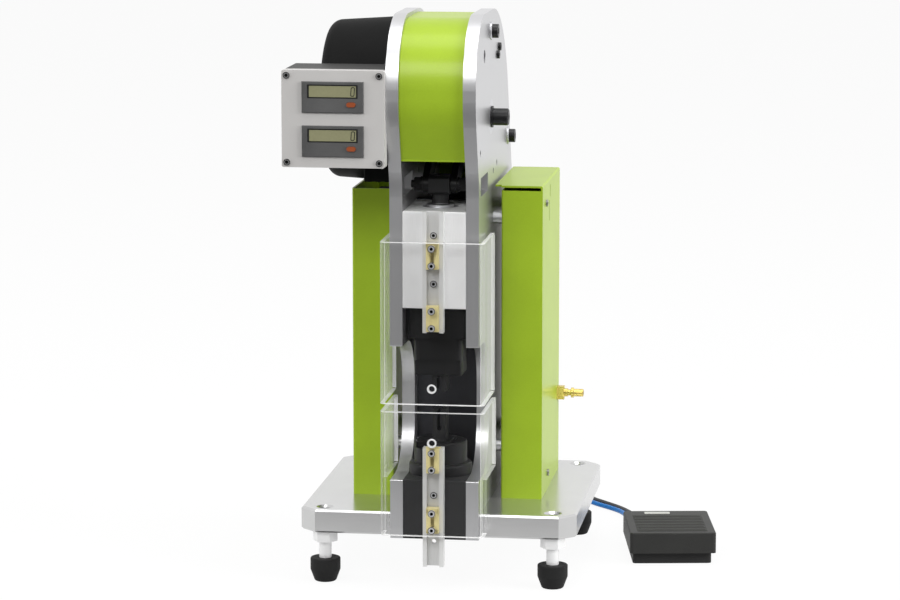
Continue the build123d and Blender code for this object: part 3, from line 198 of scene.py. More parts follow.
@dataclass(frozen=True)
class Finish:
    """A painted, moulded or machined surface.

    Attributes:
        name: the material's name.
        colour: linear base colour.
        metallic: 0 for paint and plastic, 1 for bare metal.
        roughness: mean roughness.
        grain_size: width of one grain in metres.
        relief: height of the fine pattern in metres.
        tone: how far the colour drifts, as a share of itself.
        grain: direction of the fine pattern.
        specular: strength of the plain reflection.
        tint: colour that its reflections take on.
        coat: weight of a clear coat.
        coat_roughness: roughness of that coat.
        gloss_drift: how far the roughness drifts each way.
        tone_size: width of a tone patch in metres.
        tone_spread: sums of both patterns at which the colour is darkest and lightest.
    """

    name: str
    colour: Colour
    metallic: float
    roughness: float
    grain_size: float
    relief: float
    tone: float = 0.05
    grain: Grain = Grain.EVEN
    specular: float = 0.5
    tint: Colour = (1.0, 1.0, 1.0)
    coat: float = 0.0
    coat_roughness: float = 0.22
    gloss_drift: float = 0.05
    tone_size: float = 0.03
    tone_spread: Span = (0.7, 1.3)

    def build(self) -> bpy.types.Material:
        """Make the finish's material, or return it if it is already made.

        Returns:
            A node material that reads Object coordinates.
        """
        made = bpy.data.materials.get(self.name)
        if made is not None:
            return made
        material = bpy.data.materials.new(self.name)
        wiring = Wiring(material)
        place = wiring.coordinates()
        stretched = wiring.add("ShaderNodeMapping", {"Vector": place, "Scale": self.grain.value})
        fine = wiring.noise(stretched.outputs["Vector"], 1.0 / self.grain_size, 3.0)
        broad = wiring.noise(place, 1.0 / self.tone_size, 4.0)
        drift = wiring.remap(wiring.calculate("ADD", fine, broad), (0.0, 1.0), self.tone_spread)
        darker = [channel * (1.0 - self.tone) for channel in self.colour]
        lighter = [min(channel * (1.0 + self.tone), 1.0) for channel in self.colour]
        gloss = (max(self.roughness - self.gloss_drift, 0.02), min(self.roughness + self.gloss_drift, 1.0))
        bump = wiring.add("ShaderNodeBump", {"Strength": 1.0, "Distance": self.relief, "Height": fine})
        wiring.feed(wiring.shader, {
            "Base Color": wiring.mix(drift, (*darker, 1.0), (*lighter, 1.0)),
            "Metallic": self.metallic,
            "Roughness": wiring.remap(fine, gloss),
            "Specular IOR Level": self.specular,
            "Specular Tint": (*self.tint, 1.0),
            "Coat Weight": self.coat,
            "Coat Roughness": self.coat_roughness,
            "Coat Tint": (*self.tint, 1.0),
            "Normal": bump.outputs["Normal"],
        })
        return material


@dataclass(frozen=True)
class ClearSheet:
    """Clear plastic sheet: it shows what is behind it; its cut edges are painted pale as a highlight, and
    it is painted white at a grazing angle as a reflection of the pale surroundings.

    Attributes:
        name: the material's name.
        low: height of the sheet's lower edge in metres.
        high: height of its upper edge in metres.
        back: depth, along Y, of the ends of its wings in metres.
        veil: opacity seen square on, and at a grazing angle.
        veil_grey: brightness of the sheet seen square on.
        pale_from: grazing share, or edge, from which the painted highlight and reflection are full white.
        graze_blend: how soon the grazing angle counts.
        edge: opacity of a cut edge.
        edge_reach: how near an edge counts as cut, in metres.
        gloss: least and greatest roughness of the wiped surface.
        smear_scale: wipe marks in a metre.
        specular: strength of its reflection.
    """

    name: str
    low: float
    high: float
    back: float
    veil: Span = (0.006, 0.42)
    veil_grey: float = 0.05
    pale_from: float = 0.25
    graze_blend: float = 0.28
    edge: float = 0.8
    edge_reach: float = 0.0004
    gloss: Span = (0.03, 0.16)
    smear_scale: float = 18.0
    specular: float = 0.3

    def build(self) -> bpy.types.Material:
        """Make the sheet's material.

        Returns:
            A node material whose opacity rises at a grazing angle and at the cut edges.
        """
        material = bpy.data.materials.new(self.name)
        wiring = Wiring(material)
        smear = wiring.noise(wiring.coordinates(), self.smear_scale, 5.0)
        graze = wiring.add("ShaderNodeLayerWeight", {"Blend": self.graze_blend}).outputs["Fresnel"]
        rim = self._rim(wiring)
        # painted highlight and painted reflection: the base colour turns white near the cut edges and at a
        # grazing angle
        pale = wiring.calculate("MAXIMUM", rim, graze)
        wiring.feed(wiring.shader, {
            "Base Color": wiring.remap(pale, (self.veil_grey, 1.0), (0.0, self.pale_from)),
            "Roughness": wiring.remap(smear, self.gloss),
            "Specular IOR Level": self.specular,
            "Alpha": wiring.calculate("MAXIMUM", wiring.remap(graze, self.veil), rim),
        })
        return material

    def _rim(self, wiring: Wiring) -> bpy.types.NodeSocket:
        """Opacity of the cut edges: high only close to an edge's height or depth.

        Args:
            wiring: the material's node tree.

        Returns:
            The socket that carries the opacity.
        """
        axes = wiring.axes()
        edges = (("Z", self.low), ("Z", self.high), ("Y", self.back))
        near = [wiring.calculate("COMPARE", axes[axis], edge, self.edge_reach) for axis, edge in edges]
        across = wiring.calculate("MAXIMUM", near[0], near[1])
        found = wiring.calculate("MAXIMUM", across, near[2])
        return wiring.calculate("MULTIPLY", found, self.edge)


@dataclass(frozen=True)
class TwoTone:
    """Bright machined metal up to a height, blackened above it.

    Attributes:
        name: the material's name.
        height: height of the change in metres.
        bright: colour below the change.
        black: colour above it.
        roughness: roughness of both.
    """

    name: str
    height: float
    bright: Colour
    black: Colour
    roughness: float = 0.3

    def build(self) -> bpy.types.Material:
        """Make the material.

        Returns:
            A node material that changes at the height, read from Object coordinates.
        """
        material = bpy.data.materials.new(self.name)
        wiring = Wiring(material)
        above = wiring.calculate("GREATER_THAN", wiring.axes()["Z"], self.height)
        wiring.feed(wiring.shader, {
            "Base Color": wiring.mix(above, (*self.bright, 1.0), (*self.black, 1.0)),
            "Metallic": wiring.calculate("SUBTRACT", 1.0, above),
            "Roughness": self.roughness,
        })
        return material


BRIGHT_STEEL = Finish("bright_steel", linear(236, 236, 237), 0.8, 0.26, 0.0006, 4e-6, 0.06)
# near-black painted shade for the insides of screw sockets
SOCKET_SHADE = Finish("socket_painted_shade", grey(12), 0.0, 0.7, 0.0006, 6e-6, 0.2, specular=0.1)
# dark grey painted shade for the gap round each screw head
RIM_SHADE = Finish("rim_painted_shade", grey(36), 0.2, 0.5, 0.0006, 6e-6, 0.2, specular=0.2)
PEDAL_RUBBER = Finish("pedal_rubber", linear(52, 52, 51), 0.0, 0.66, 0.0007, 3e-5, 0.15, specular=0.22)
LABEL_GREY = Finish("label_grey", linear(196, 196, 192), 0.2, 0.4, 0.0008, 4e-6, 0.04)
SCREEN_GREEN = Finish("screen_green", linear(142, 141, 110), 0.0, 0.25, 0.002, 2e-6, 0.05, specular=0.2)
SCREEN_BLACK = Finish("screen_black", linear(26, 27, 26), 0.0, 0.35, 0.0006, 4e-6, 0.1)
EYELET_WHITE = Finish("eyelet_white", grey(238), 0.2, 0.3, 0.0006, 4e-6, 0.02)
AIR_BLUE = Finish("air_line_blue", linear(8, 116, 196), 0.0, 0.32, 0.002, 4e-6, 0.06, specular=0.25)
SIGNAL_BLACK = Finish("signal_line_black", linear(40, 40, 42), 0.0, 0.45, 0.0015, 8e-6, 0.12)

NODE_FINISHES: dict[Finish, tuple[str, ...]] = {
    Finish(
        "green_powder_coat", linear(156, 192, 46), 0.0, 0.42, 0.0009, 1e-5,
        specular=0.3, tint=(1.0, 0.82, 0.6), coat=0.35,
    ): ("head_cover", "left_box", "right_box", "right_box_cover"),
    Finish("plate_metal", grey(232), 0.6, 0.34, 0.0006, 5e-6, 0.04, grain=Grain.ALONG_Z):
        ("side_plate_left", "side_plate_right"),
    Finish("base_metal", grey(206), 0.85, 0.22, 0.0006, 3e-6, 0.04, grain=Grain.ALONG_X): ("base_plate",),
    Finish("pale_aluminium", grey(238), 0.2, 0.45, 0.0005, 5e-6, 0.04, grain=Grain.ALONG_Z):
        ("guide_block",),
    Finish("rail_metal", linear(226, 226, 225), 0.25, 0.4, 0.0004, 4e-6, grain=Grain.ALONG_Z):
        ("upper_rail", "lower_rail"),
    BRIGHT_STEEL: (
        "shaft_bearings", "guide_bush", "lever_roller", "roller_pin", "lever_pin",
        "rail_screws", "pedal_pin", "upper_clamp_screws", "lower_clamp_screws", "box_standoffs",
    ),
    Finish("mid_steel", grey(150), 0.8, 0.36, 0.0006, 6e-6, 0.08): ("cover_screws",),
    Finish("black_steel", grey(10), 0.0, 0.6, 0.0008, 1e-5, 0.2, specular=0.06):
        ("throat_web", "back_panel", "tie_rods", "gearbox", "motor"),
    Finish("anvil_black", linear(44, 44, 45), 0.0, 0.5, 0.0008, 1e-5, 0.1, specular=0.3): ("anvil_block",),
    Finish("dark_steel", linear(26, 26, 27), 0.1, 0.4, 0.0008, 1e-5, 0.15, specular=0.25):
        ("lever", "cam", "die_holder", "tool_holder", "cross_pin"),
    Finish(
        "tool_steel", linear(42, 42, 43), 0.2, 0.36, 0.0006, 8e-6, 0.15, specular=0.35, grain=Grain.ALONG_Z
    ): ("punch", "die"),
    Finish("screw_black", linear(24, 24, 25), 0.2, 0.36, 0.0006, 8e-6, 0.2): ("plate_screws", "main_shaft"),
    Finish("shell_black", grey(24), 0.0, 0.6, 0.0011, 3e-5, 0.15, specular=0.06):
        ("motor_cover", "cable_block", "control_unit", "line_glands"),
    Finish("box_grey", linear(194, 192, 190), 0.0, 0.46, 0.0008, 1.2e-5, 0.03): ("counter_lid",),
    # dark grey that stands in for the black drum's reflection and shade on the case's top: painted
    # reflection and painted shade
    Finish("case_grey_painted_reflection", linear(58, 58, 57), 0.0, 0.5, 0.0008, 1.2e-5, 0.05, specular=0.12):
        ("counter_case",),
    Finish("bezel_grey", grey(84), 0.0, 0.6, 0.0005, 4e-5, 0.3, specular=0.3):
        ("lower_counter", "upper_counter"),
    Finish("button_orange", linear(150, 76, 44), 0.0, 0.4, 0.0008, 1e-5, 0.08, specular=0.2):
        ("lower_reset_button", "upper_reset_button"),
    Finish("bright_brass", linear(222, 198, 118), 0.9, 0.26, 0.0007, 5e-6, 0.07): ("air_plug",),
    Finish("clamp_gold", linear(246, 232, 168), 0.2, 0.34, 0.0007, 5e-6, 0.07):
        ("upper_clamps", "lower_clamps"),
    Finish("stud_steel", grey(244), 0.35, 0.3, 0.0006, 4e-6, 0.05): ("foot_studs",),
    Finish("foot_rubber", grey(36), 0.0, 0.62, 0.0009, 3e-5, 0.15, specular=0.15): ("foot_rubbers",),
    Finish("pedal_black", linear(46, 46, 45), 0.0, 0.5, 0.0007, 3e-5, 0.12, specular=0.22):
        ("pedal_treadle",),
    Finish("pedal_base_black", grey(44), 0.0, 0.56, 0.0007, 3e-5, 0.15, specular=0.2): ("pedal_base",),
}


def dress_node(node: str, material: bpy.types.Material) -> None:
    """Give a CAD node one material on all its slots.

    Args:
        node: the node's name.
        material: the material that it gets.
    """
    mesh = frame["nodes"][node].data
    if not mesh.materials:
        mesh.materials.append(material)
    for index in range(len(mesh.materials)):
        mesh.materials[index] = material


def soften_node(node: str, width: float) -> None:
    """Round a CAD node's sharp edges a little, as a deburred or moulded edge is.

    Args:
        node: the node's name.
        width: width of the rounded edge in metres.
    """
    piece = frame["nodes"][node]
    weld = piece.modifiers.new("joined", "WELD")
    weld.merge_threshold = NODE_WELD
    bevel = piece.modifiers.new("soft_edges", "BEVEL")
    bevel.width = width
    bevel.segments = 2
    bevel.limit_method = "ANGLE"
    bevel.angle_limit = SOFT_ANGLE
    bevel.use_clamp_overlap = True
    bevel.harden_normals = True


# --- meshes from arrays
def mesh_piece(name: str, points: np.ndarray, faces: np.ndarray, finish: Finish) -> bpy.types.Object:
    """Make an object with flat faces from arrays of points and quads.

    Args:
        name: the piece's name.
        points: points in metres, one row each.
        faces: corner numbers, one row a face.
        finish: the piece's finish.

    Returns:
        The new object at the origin.
    """
    mesh = bpy.data.meshes.new(name)
    mesh.from_pydata(points.tolist(), [], faces.tolist())
    mesh.validate()
    work = bmesh.new()
    work.from_mesh(mesh)
    bmesh.ops.remove_doubles(work, verts=work.verts, dist=PIECE_WELD)
    bmesh.ops.recalc_face_normals(work, faces=work.faces)
    work.to_mesh(mesh)
    work.free()
    mesh.shade_flat()
    mesh.materials.append(finish.build())
    piece = bpy.data.objects.new(name, mesh)
    bpy.context.scene.collection.objects.link(piece)
    return piece


def grid_faces(rows: int, columns: int, offset: int = 0) -> np.ndarray:
    """Quads of a grid of rows by columns points, numbered row by row.

    Args:
        rows: points along the first parameter.
        columns: points along the second.
        offset: number of the first point.

    Returns:
        An array with four corner numbers a row.
    """
    row, column = np.meshgrid(np.arange(rows - 1), np.arange(columns - 1), indexing="ij")
    first = (row * columns + column).ravel() + offset
    return np.stack([first, first + 1, first + columns + 1, first + columns], axis=1)


def closed_pad(
    width: np.ndarray, depth: np.ndarray, top: np.ndarray, floor: float
) -> tuple[np.ndarray, np.ndarray]:
    """A pad whose top is a height over a grid, closed by walls and a flat floor.

    The top point at row i and column j is (width[j], depth[i], top[i, j]), and the floor point below it
    has the floor's height. Walls join the rims of both grids.

    Args:
        width: positions of the columns.
        depth: positions of the rows.
        top: heights, one row for each depth.
        floor: height of the floor.

    Returns:
        The points and the quads.
    """
    x, y = np.meshgrid(width, depth)
    upper = np.stack([x, y, top], axis=-1).reshape(-1, 3)
    lower = np.stack([x, y, np.full_like(x, floor)], axis=-1).reshape(-1, 3)
    rows, columns = len(depth), len(width)
    count = rows * columns
    faces = [grid_faces(rows, columns), grid_faces(rows, columns, count)[:, ::-1]]
    index = np.arange(count).reshape(rows, columns)
    for rim in (index[0], index[:, -1], index[-1][::-1], index[:, 0][::-1]):
        wall = np.stack([rim[:-1], rim[:-1] + count, rim[1:] + count, rim[1:]], axis=1)
        faces.append(wall)
    return np.concatenate([upper, lower]), np.concatenate(faces)


def rounded_outline(width: float, height: float, radius: float, steps: int = 5) -> np.ndarray:
    """Points round a rectangle with quarter-circle corners, centred on zero.

    Each corner's points are its centre plus radius times (cos a, sin a), with a going through a quarter
    turn, and the four corners follow one another anticlockwise.

    Args:
        width: full width.
        height: full height.
        radius: corner radius.
        steps: points on each corner.

    Returns:
        An array of two-dimensional points.
    """
    quarter = np.linspace(0.0, math.pi / 2, steps)
    starts = np.repeat(np.arange(4) * math.pi / 2, steps)
    angle = np.tile(quarter, 4) + starts
    side_x = np.repeat([1.0, -1.0, -1.0, 1.0], steps) * (width / 2 - radius)
    side_z = np.repeat([1.0, 1.0, -1.0, -1.0], steps) * (height / 2 - radius)
    return np.stack([side_x + radius * np.cos(angle), side_z + radius * np.sin(angle)], axis=1)


def lofted(name: str, rings: np.ndarray, depth: np.ndarray, finish: Finish) -> bpy.types.Object:
    """Outlines at several depths, joined one to the next by quads.

    Args:
        name: the piece's name.
        rings: points (x, z) of each outline, as many in each.
        depth: y of each outline.
        finish: the finish.

    Returns:
        The new object.
    """
    level = np.broadcast_to(depth[:, None], rings.shape[:2])
    points = np.stack([rings[..., 0], level, rings[..., 1]], axis=-1)
    points = np.concatenate([points, points[:, :1]], axis=1)
    return mesh_piece(name, points.reshape(-1, 3), grid_faces(*points.shape[:2]), finish)


AXES = {"x": (1.0, 0.0, 0.0), "-y": (0.0, -1.0, 0.0)}


def lathed(
    name: str,
    profiles: Sequence[Sequence[Span]],
    places: list[Vector],
    axis: str,
    finish: Finish,
    segments: int = 40,
) -> bpy.types.Object:
    """Turned pieces of one form at several places, in one object.

    A profile point (r, t) at angle a stands at place + r (u cos a + v sin a) + t n, where n is the axis
    and u and v are square to it.

    Args:
        name: the piece's name.
        profiles: (radius, height) outlines in millimetres, one for each place.
        places: foot of each turned form, in metres.
        axis: which way the height points, a key of AXES.
        finish: the finish.
        segments: sides of a full turn.

    Returns:
        The new object.
    """
    normal = np.array(AXES[axis])
    side = np.array([0.0, 0.0, 1.0])
    other = np.cross(normal, side)
    angle = np.linspace(0.0, 2 * math.pi, segments + 1)
    around = np.cos(angle)[:, None] * side + np.sin(angle)[:, None] * other
    points, faces, start = [], [], 0
    for profile, place in zip(profiles, places):
        radius, height = np.array(profile).T * MM
        ring = radius[:, None, None] * around[None] + height[:, None, None] * normal + np.array(place)
        points.append(ring.reshape(-1, 3))
        faces.append(grid_faces(len(profile), segments + 1, start))
        start += len(profile) * (segments + 1)
    return mesh_piece(name, np.concatenate(points), np.concatenate(faces), finish)


def solids_of(node: str) -> list[tuple[Vector, Vector]]:
    """Boxes round the separate solids of a CAD node, from left to right, front to back and up.

    Args:
        node: the node's name.

    Returns:
        (lowest corner, highest corner) of each solid, in metres.
    """
    work = bmesh.new()
    work.from_mesh(frame["nodes"][node].data)
    bmesh.ops.remove_doubles(work, verts=work.verts, dist=NODE_WELD)
    left = set(work.verts)
    boxes = []
    while left:
        group, edge = set(), {next(iter(left))}
        while edge:
            group |= edge
            edge = {e.other_vert(v) for v in edge for e in v.link_edges} - group
        left -= group
        corners = np.array([v.co for v in group])
        boxes.append((Vector(corners.min(axis=0)), Vector(corners.max(axis=0))))
    work.free()
    return sorted(boxes, key=lambda pair: [round(c, 4) for c in pair[0]])


# --- the studio
@dataclass(frozen=True)
class SoftLight:
    """A rectangular soft light aimed at a point.

    Attributes:
        name: the light's name.
        power: its power in watts.
        place: its middle.
        size: its width and height in metres.
        target: the point that it faces.
        mirrored: whether shiny surfaces mirror it.
    """

    name: str
    power: float
    place: Point
    size: Span
    target: Point = (0.0, 0.0, 0.25)
    mirrored: bool = True

    def build(self) -> None:
        """Hang the light and aim it."""
        lamp = bpy.data.lights.new(self.name, "AREA")
        lamp.shape = "RECTANGLE"
        lamp.size, lamp.size_y = self.size
        lamp.energy = self.power
        light = bpy.data.objects.new(self.name, lamp)
        light.location = self.place
        aim = Vector(self.target) - Vector(self.place)
        light.rotation_euler = aim.to_track_quat("-Z", "Y").to_euler()
        light.visible_glossy = self.mirrored
        bpy.context.scene.collection.objects.link(light)


@dataclass
class Studio:
    """Camera, floor, soft lights and pale surroundings.

    Attributes:
        camera_place: where the camera stands.
        yaw: degrees that it is turned to the left of +Y.
        pitch: degrees that it looks down.
        lens: focal length in millimetres on the sensor.
        sensor: width of the sensor in millimetres.
        floor_size: width of the floor in metres.
        floor_drop: how far the floor lies below the feet in metres.
        floor_glow: share of plain white where the camera or a reflection sees the floor.
        floor_tones: brightness of the floor for the light it throws back, in front and behind.
        dim_depth: Y at which the floor's front tone ends and its back tone is reached.
        mirror_front: brightness of the surroundings in front, where shiny surfaces mirror them.
        mirror_depth: Y of the direction in which that ends, and in which full white is reached.
        fill: brightness of the surroundings as light.
        lights: the soft lights.
    """

    camera_place: Point = (0.3805, -2.7814, 0.6657)
    yaw: float = 7.874
    pitch: float = 9.165
    lens: float = 140.15
    sensor: float = 36.0
    floor_size: float = 14.0
    floor_drop: float = 0.0002
    floor_glow: float = 0.93
    floor_tones: Span = (0.12, 0.55)
    dim_depth: Span = (-0.6, 0.1)
    mirror_front: float = 0.42
    mirror_depth: Span = (-0.95, -0.2)
    fill: float = 0.34
    lights: tuple[SoftLight, ...] = (
        SoftLight("front_light", 42.0, (-0.6, -2.8, 2.1), (1.8, 1.2), (0.0, 0.0, 0.4)),
        SoftLight("right_light", 80.0, (2.8, -0.9, 1.2), (1.8, 1.8), mirrored=False),
        SoftLight("left_light", 32.0, (-2.8, -1.0, 1.0), (1.6, 1.6), mirrored=False),
        SoftLight("top_light", 34.0, (0.3, -0.3, 2.8), (1.8, 1.8)),
    )

    def build(self) -> None:
        """Make the camera, then the floor, the lights and the world."""
        self._camera()
        self._floor()
        for light in self.lights:
            light.build()
        self._world()
        bpy.context.scene.view_settings.view_transform = "Standard"
        LOG.info("studio ready")

    def _camera(self) -> None:
        """Place the camera and make it the scene's own."""
        lens = bpy.data.cameras.new("camera")
        lens.sensor_width = self.sensor
        lens.lens = self.lens
        camera = bpy.data.objects.new("camera", lens)
        camera.location = self.camera_place
        camera.rotation_euler = (math.radians(90.0 - self.pitch), 0.0, math.radians(self.yaw))
        bpy.context.scene.collection.objects.link(camera)
        bpy.context.scene.camera = camera

    def _floor(self) -> None:
        """A wide pale floor that shows white to the camera and still takes the shadow."""
        corners = np.array([[-1, -1, 0], [1, -1, 0], [1, 1, 0], [-1, 1, 0]]) * self.floor_size / 2
        mesh = bpy.data.meshes.new("floor")
        mesh.from_pydata((corners - [0, 0, self.floor_drop]).tolist(), [], [[0, 1, 2, 3]])
        floor = bpy.data.objects.new("floor", mesh)
        bpy.context.scene.collection.objects.link(floor)
        mesh.materials.append(self._floor_material())

    def _floor_material(self) -> bpy.types.Material:
        """White for the camera and for reflections, but dim in front, as light and in reflections.

        Returns:
            The floor's material.
        """
        material = bpy.data.materials.new("floor_white")
        wiring = Wiring(material)
        depth = wiring.remap(wiring.axes()["Y"], (0.0, 1.0), self.dim_depth)
        rays = wiring.rays()
        mirrored = wiring.calculate("MULTIPLY", rays["Is Glossy Ray"], depth)
        seen = wiring.calculate("MAXIMUM", rays["Is Camera Ray"], mirrored)
        seen = wiring.calculate("MAXIMUM", rays["Is Transmission Ray"], seen)
        front, behind = self.floor_tones
        lit = wiring.calculate("MAXIMUM", wiring.calculate("MULTIPLY", depth, behind), front)
        paint = {"Base Color": wiring.calculate("MAXIMUM", lit, seen), "Roughness": 0.9}
        wiring.feed(wiring.shader, {**paint, "Specular IOR Level": 0.0})
        glow = wiring.add("ShaderNodeEmission", {"Color": WHITE, "Strength": 1.0}).outputs["Emission"]
        share = wiring.calculate("MULTIPLY", seen, self.floor_glow)
        both = wiring.add("ShaderNodeMixShader", {0: share, 1: wiring.shader.outputs["BSDF"], 2: glow})
        wiring.feed(wiring.nodes["Material Output"], {"Surface": both.outputs["Shader"]})
        return material

    def _world(self) -> None:
        """White surroundings, dimmer in front for reflections, and a plain fill for diffuse light."""
        world = bpy.data.worlds.new("surroundings")
        bpy.context.scene.world = world
        wiring = Wiring(world)
        mirrored = wiring.remap(wiring.axes("Generated")["Y"], (self.mirror_front, 1.0), self.mirror_depth)
        rays = wiring.rays()
        fill = wiring.mix(rays["Is Glossy Ray"], self.fill, mirrored, "FLOAT")
        seen = wiring.calculate("MAXIMUM", rays["Is Camera Ray"], rays["Is Transmission Ray"])
        strength = wiring.mix(seen, fill, 1.0, "FLOAT")
        wiring.feed(wiring.nodes["Background"], {"Color": WHITE, "Strength": strength})


# --- lines on the floor
@dataclass
class FloorLine:
    """A flexible line from the machine to the pedal, with its spare length in a coil, in millimetres.

    Attributes:
        name: the piece's name.
        finish: its finish.
        to_coil: the route's points before the coil.
        coil_middle: centre of the coil on the floor.
        to_pedal: the route's points after the coil.
        nodes: the CAD nodes that it stands for.
        length: its real length in metres; not used.
        diameter: its diameter.
        radii: radii of the coil's inner and outer helix.
        change: share of a turn over which the radius changes between them.
        pitch: rise of one turn.
        lift: gap under the coil.
        turns: turns of the inner and outer helix.
        steps: points on one turn.
    """

    name: str
    finish: Finish
    to_coil: list[Point]
    coil_middle: Span
    to_pedal: list[Point]
    nodes: tuple[str, ...]
    length: float
    diameter: float = 4.0
    radii: Span = (19.8, 24.1)
    change: float = 0.25
    pitch: float = 4.2
    lift: float = 0.05
    turns: tuple[int, int] = (3, 2)
    steps: int = 16

    def _coil(self) -> np.ndarray:
        """Points of the coil: up an inner helix, then down an outer one.

        The angle grows evenly. The height rises by one pitch a turn on the inner helix and falls by one
        pitch a turn on the outer one. The radius grows evenly over a quarter of a turn between them.

        Returns:
            An array of points.
        """
        inner, outer = self.turns
        turn = np.arange(0, (inner + outer) * self.steps + 1) / self.steps
        rising = np.minimum(turn, inner)
        falling = np.maximum(turn - inner, 0.0)
        height = self.diameter / 2 + self.lift + self.pitch * (rising - falling)
        share = np.clip((turn - inner) / self.change + 0.5, 0.0, 1.0)
        radius = self.radii[0] + (self.radii[1] - self.radii[0]) * share
        angle = 2 * math.pi * turn
        x = self.coil_middle[0] + radius * np.cos(angle)
        y = self.coil_middle[1] + radius * np.sin(angle)
        return np.stack([x, y, height], axis=1)

    def build(self) -> bpy.types.Object:
        """Returns:
            The curve's object.
        """
        route = np.concatenate([np.array(self.to_coil), self._coil(), np.array(self.to_pedal)]) * MM
        curve = bpy.data.curves.new(self.name, "CURVE")
        curve.dimensions = "3D"
        curve.bevel_depth = self.diameter / 2 * MM
        curve.bevel_resolution = 4
        curve.use_fill_caps = True
        spline = curve.splines.new("NURBS")
        spline.points.add(len(route) - 1)
        weights = np.ones((len(route), 1))
        spline.points.foreach_set("co", np.hstack([route, weights]).ravel())
        spline.order_u = 3
        spline.use_endpoint_u = True
        spline.resolution_u = 8
        curve.materials.append(self.finish.build())
        piece = bpy.data.objects.new(self.name, curve)
        bpy.context.scene.collection.objects.link(piece)
        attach(piece, "machine_frame")
        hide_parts(*self.nodes)
        LOG.info("made %s", self.name)
        return piece


# --- counters
@dataclass
class CounterFace:
    """The screen, digit and border of one panel counter, in millimetres.

    Attributes:
        node: the counter's CAD node.
        screen: width, height, corner radius and thickness of the screen.
        border: the same of its dark border.
        recess: how far both lie behind the counter's front.
        lift: height of the screen's middle above the counter's.
        digit: width, height, corner radius and thickness of the digit.
        digit_inset: distance of the digit's middle from the screen's right side.
        stroke: width of the digit's line.
        inner_radius: corner radius of the digit's opening.
        slant: how far the digit leans to the right, as a share of its height.
    """

    node: str
    screen: tuple[float, float, float, float] = (36.6, 8.6, 0.4, 0.25)
    border: tuple[float, float, float, float] = (39.2, 10.5, 0.6, 0.12)
    recess: float = 0.8
    lift: float = 4.4
    digit: tuple[float, float, float, float] = (3.2, 7.2, 1.1, 0.06)
    digit_inset: float = 2.6
    stroke: float = 0.62
    inner_radius: float = 0.6
    slant: float = 0.08

    def build(self) -> None:
        """Make the counter's dark border, its screen and its digit."""
        low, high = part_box(self.node)
        middle = ((low.x + high.x) / 2, (low.z + high.z) / 2 + self.lift * MM)
        recess = low.y + self.recess * MM
        border = self._panel("border", self.border, middle, recess, SCREEN_BLACK)
        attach(border, "machine_frame")
        screen = self._panel("screen", self.screen, middle, recess, SCREEN_GREEN)
        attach(screen, "machine_frame")
        width, _height, _radius, proud = self.screen
        place = (middle[0] + (width / 2 - self.digit_inset) * MM, middle[1])
        digit = self._zero(place, recess - proud * MM)
        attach(digit, "machine_frame")
        LOG.info("made the face of %s", self.node)

    def _panel(
        self, name: str, form: tuple[float, ...], middle: Span, back: float, finish: Finish
    ) -> bpy.types.Object:
        """A thin rounded panel on the counter's face, its rim rounded over.

        The outline is scaled by 0, 1, 1, 0.985 and 0 at 0, 0, 3/4, 1 and 1 of the thickness. So three rings
        make the rim, and faces to a middle point close the panel at the back and in front.

        Args:
            name: what it is.
            form: its width, height, corner radius and thickness in millimetres.
            middle: (x, z) of its middle in metres.
            back: y of its back in metres.
            finish: its finish.

        Returns:
            The new object.
        """
        width, height, radius, proud = (size * MM for size in form)
        shrink = np.array([0.0, 1.0, 1.0, 0.985, 0.0])
        depth = back - proud * np.array([0.0, 0.0, 0.75, 1.0, 1.0])
        rings = rounded_outline(width, height, radius)[None] * shrink[:, None, None] + middle
        return lofted(f"{self.node}_{name}", rings, depth, finish)

    def _zero(self, middle: Span, back: float) -> bpy.types.Object:
        """A figure nought: a round-ended loop, slightly slanted.

        The loop is an outline at full size and one a stroke smaller, joined by a band, and every point is
        moved sideways by its height times the slant.

        Args:
            middle: (x, z) of its middle in metres.
            back: y of the screen's face.

        Returns:
            The new object.
        """
        width, height, radius, proud = self.digit
        outer = rounded_outline(width, height, radius, 6)
        inner = rounded_outline(width - 2 * self.stroke, height - 2 * self.stroke, self.inner_radius, 6)
        rings = np.stack([outer, outer, inner, inner, outer]) * MM
        rings = rings @ np.array([[1.0, 0.0], [self.slant, 1.0]]) + middle
        depth = back - np.array([0.0, proud, proud, 0.0, 0.0]) * MM
        return lofted(f"{self.node}_nought", rings, depth, SCREEN_BLACK)


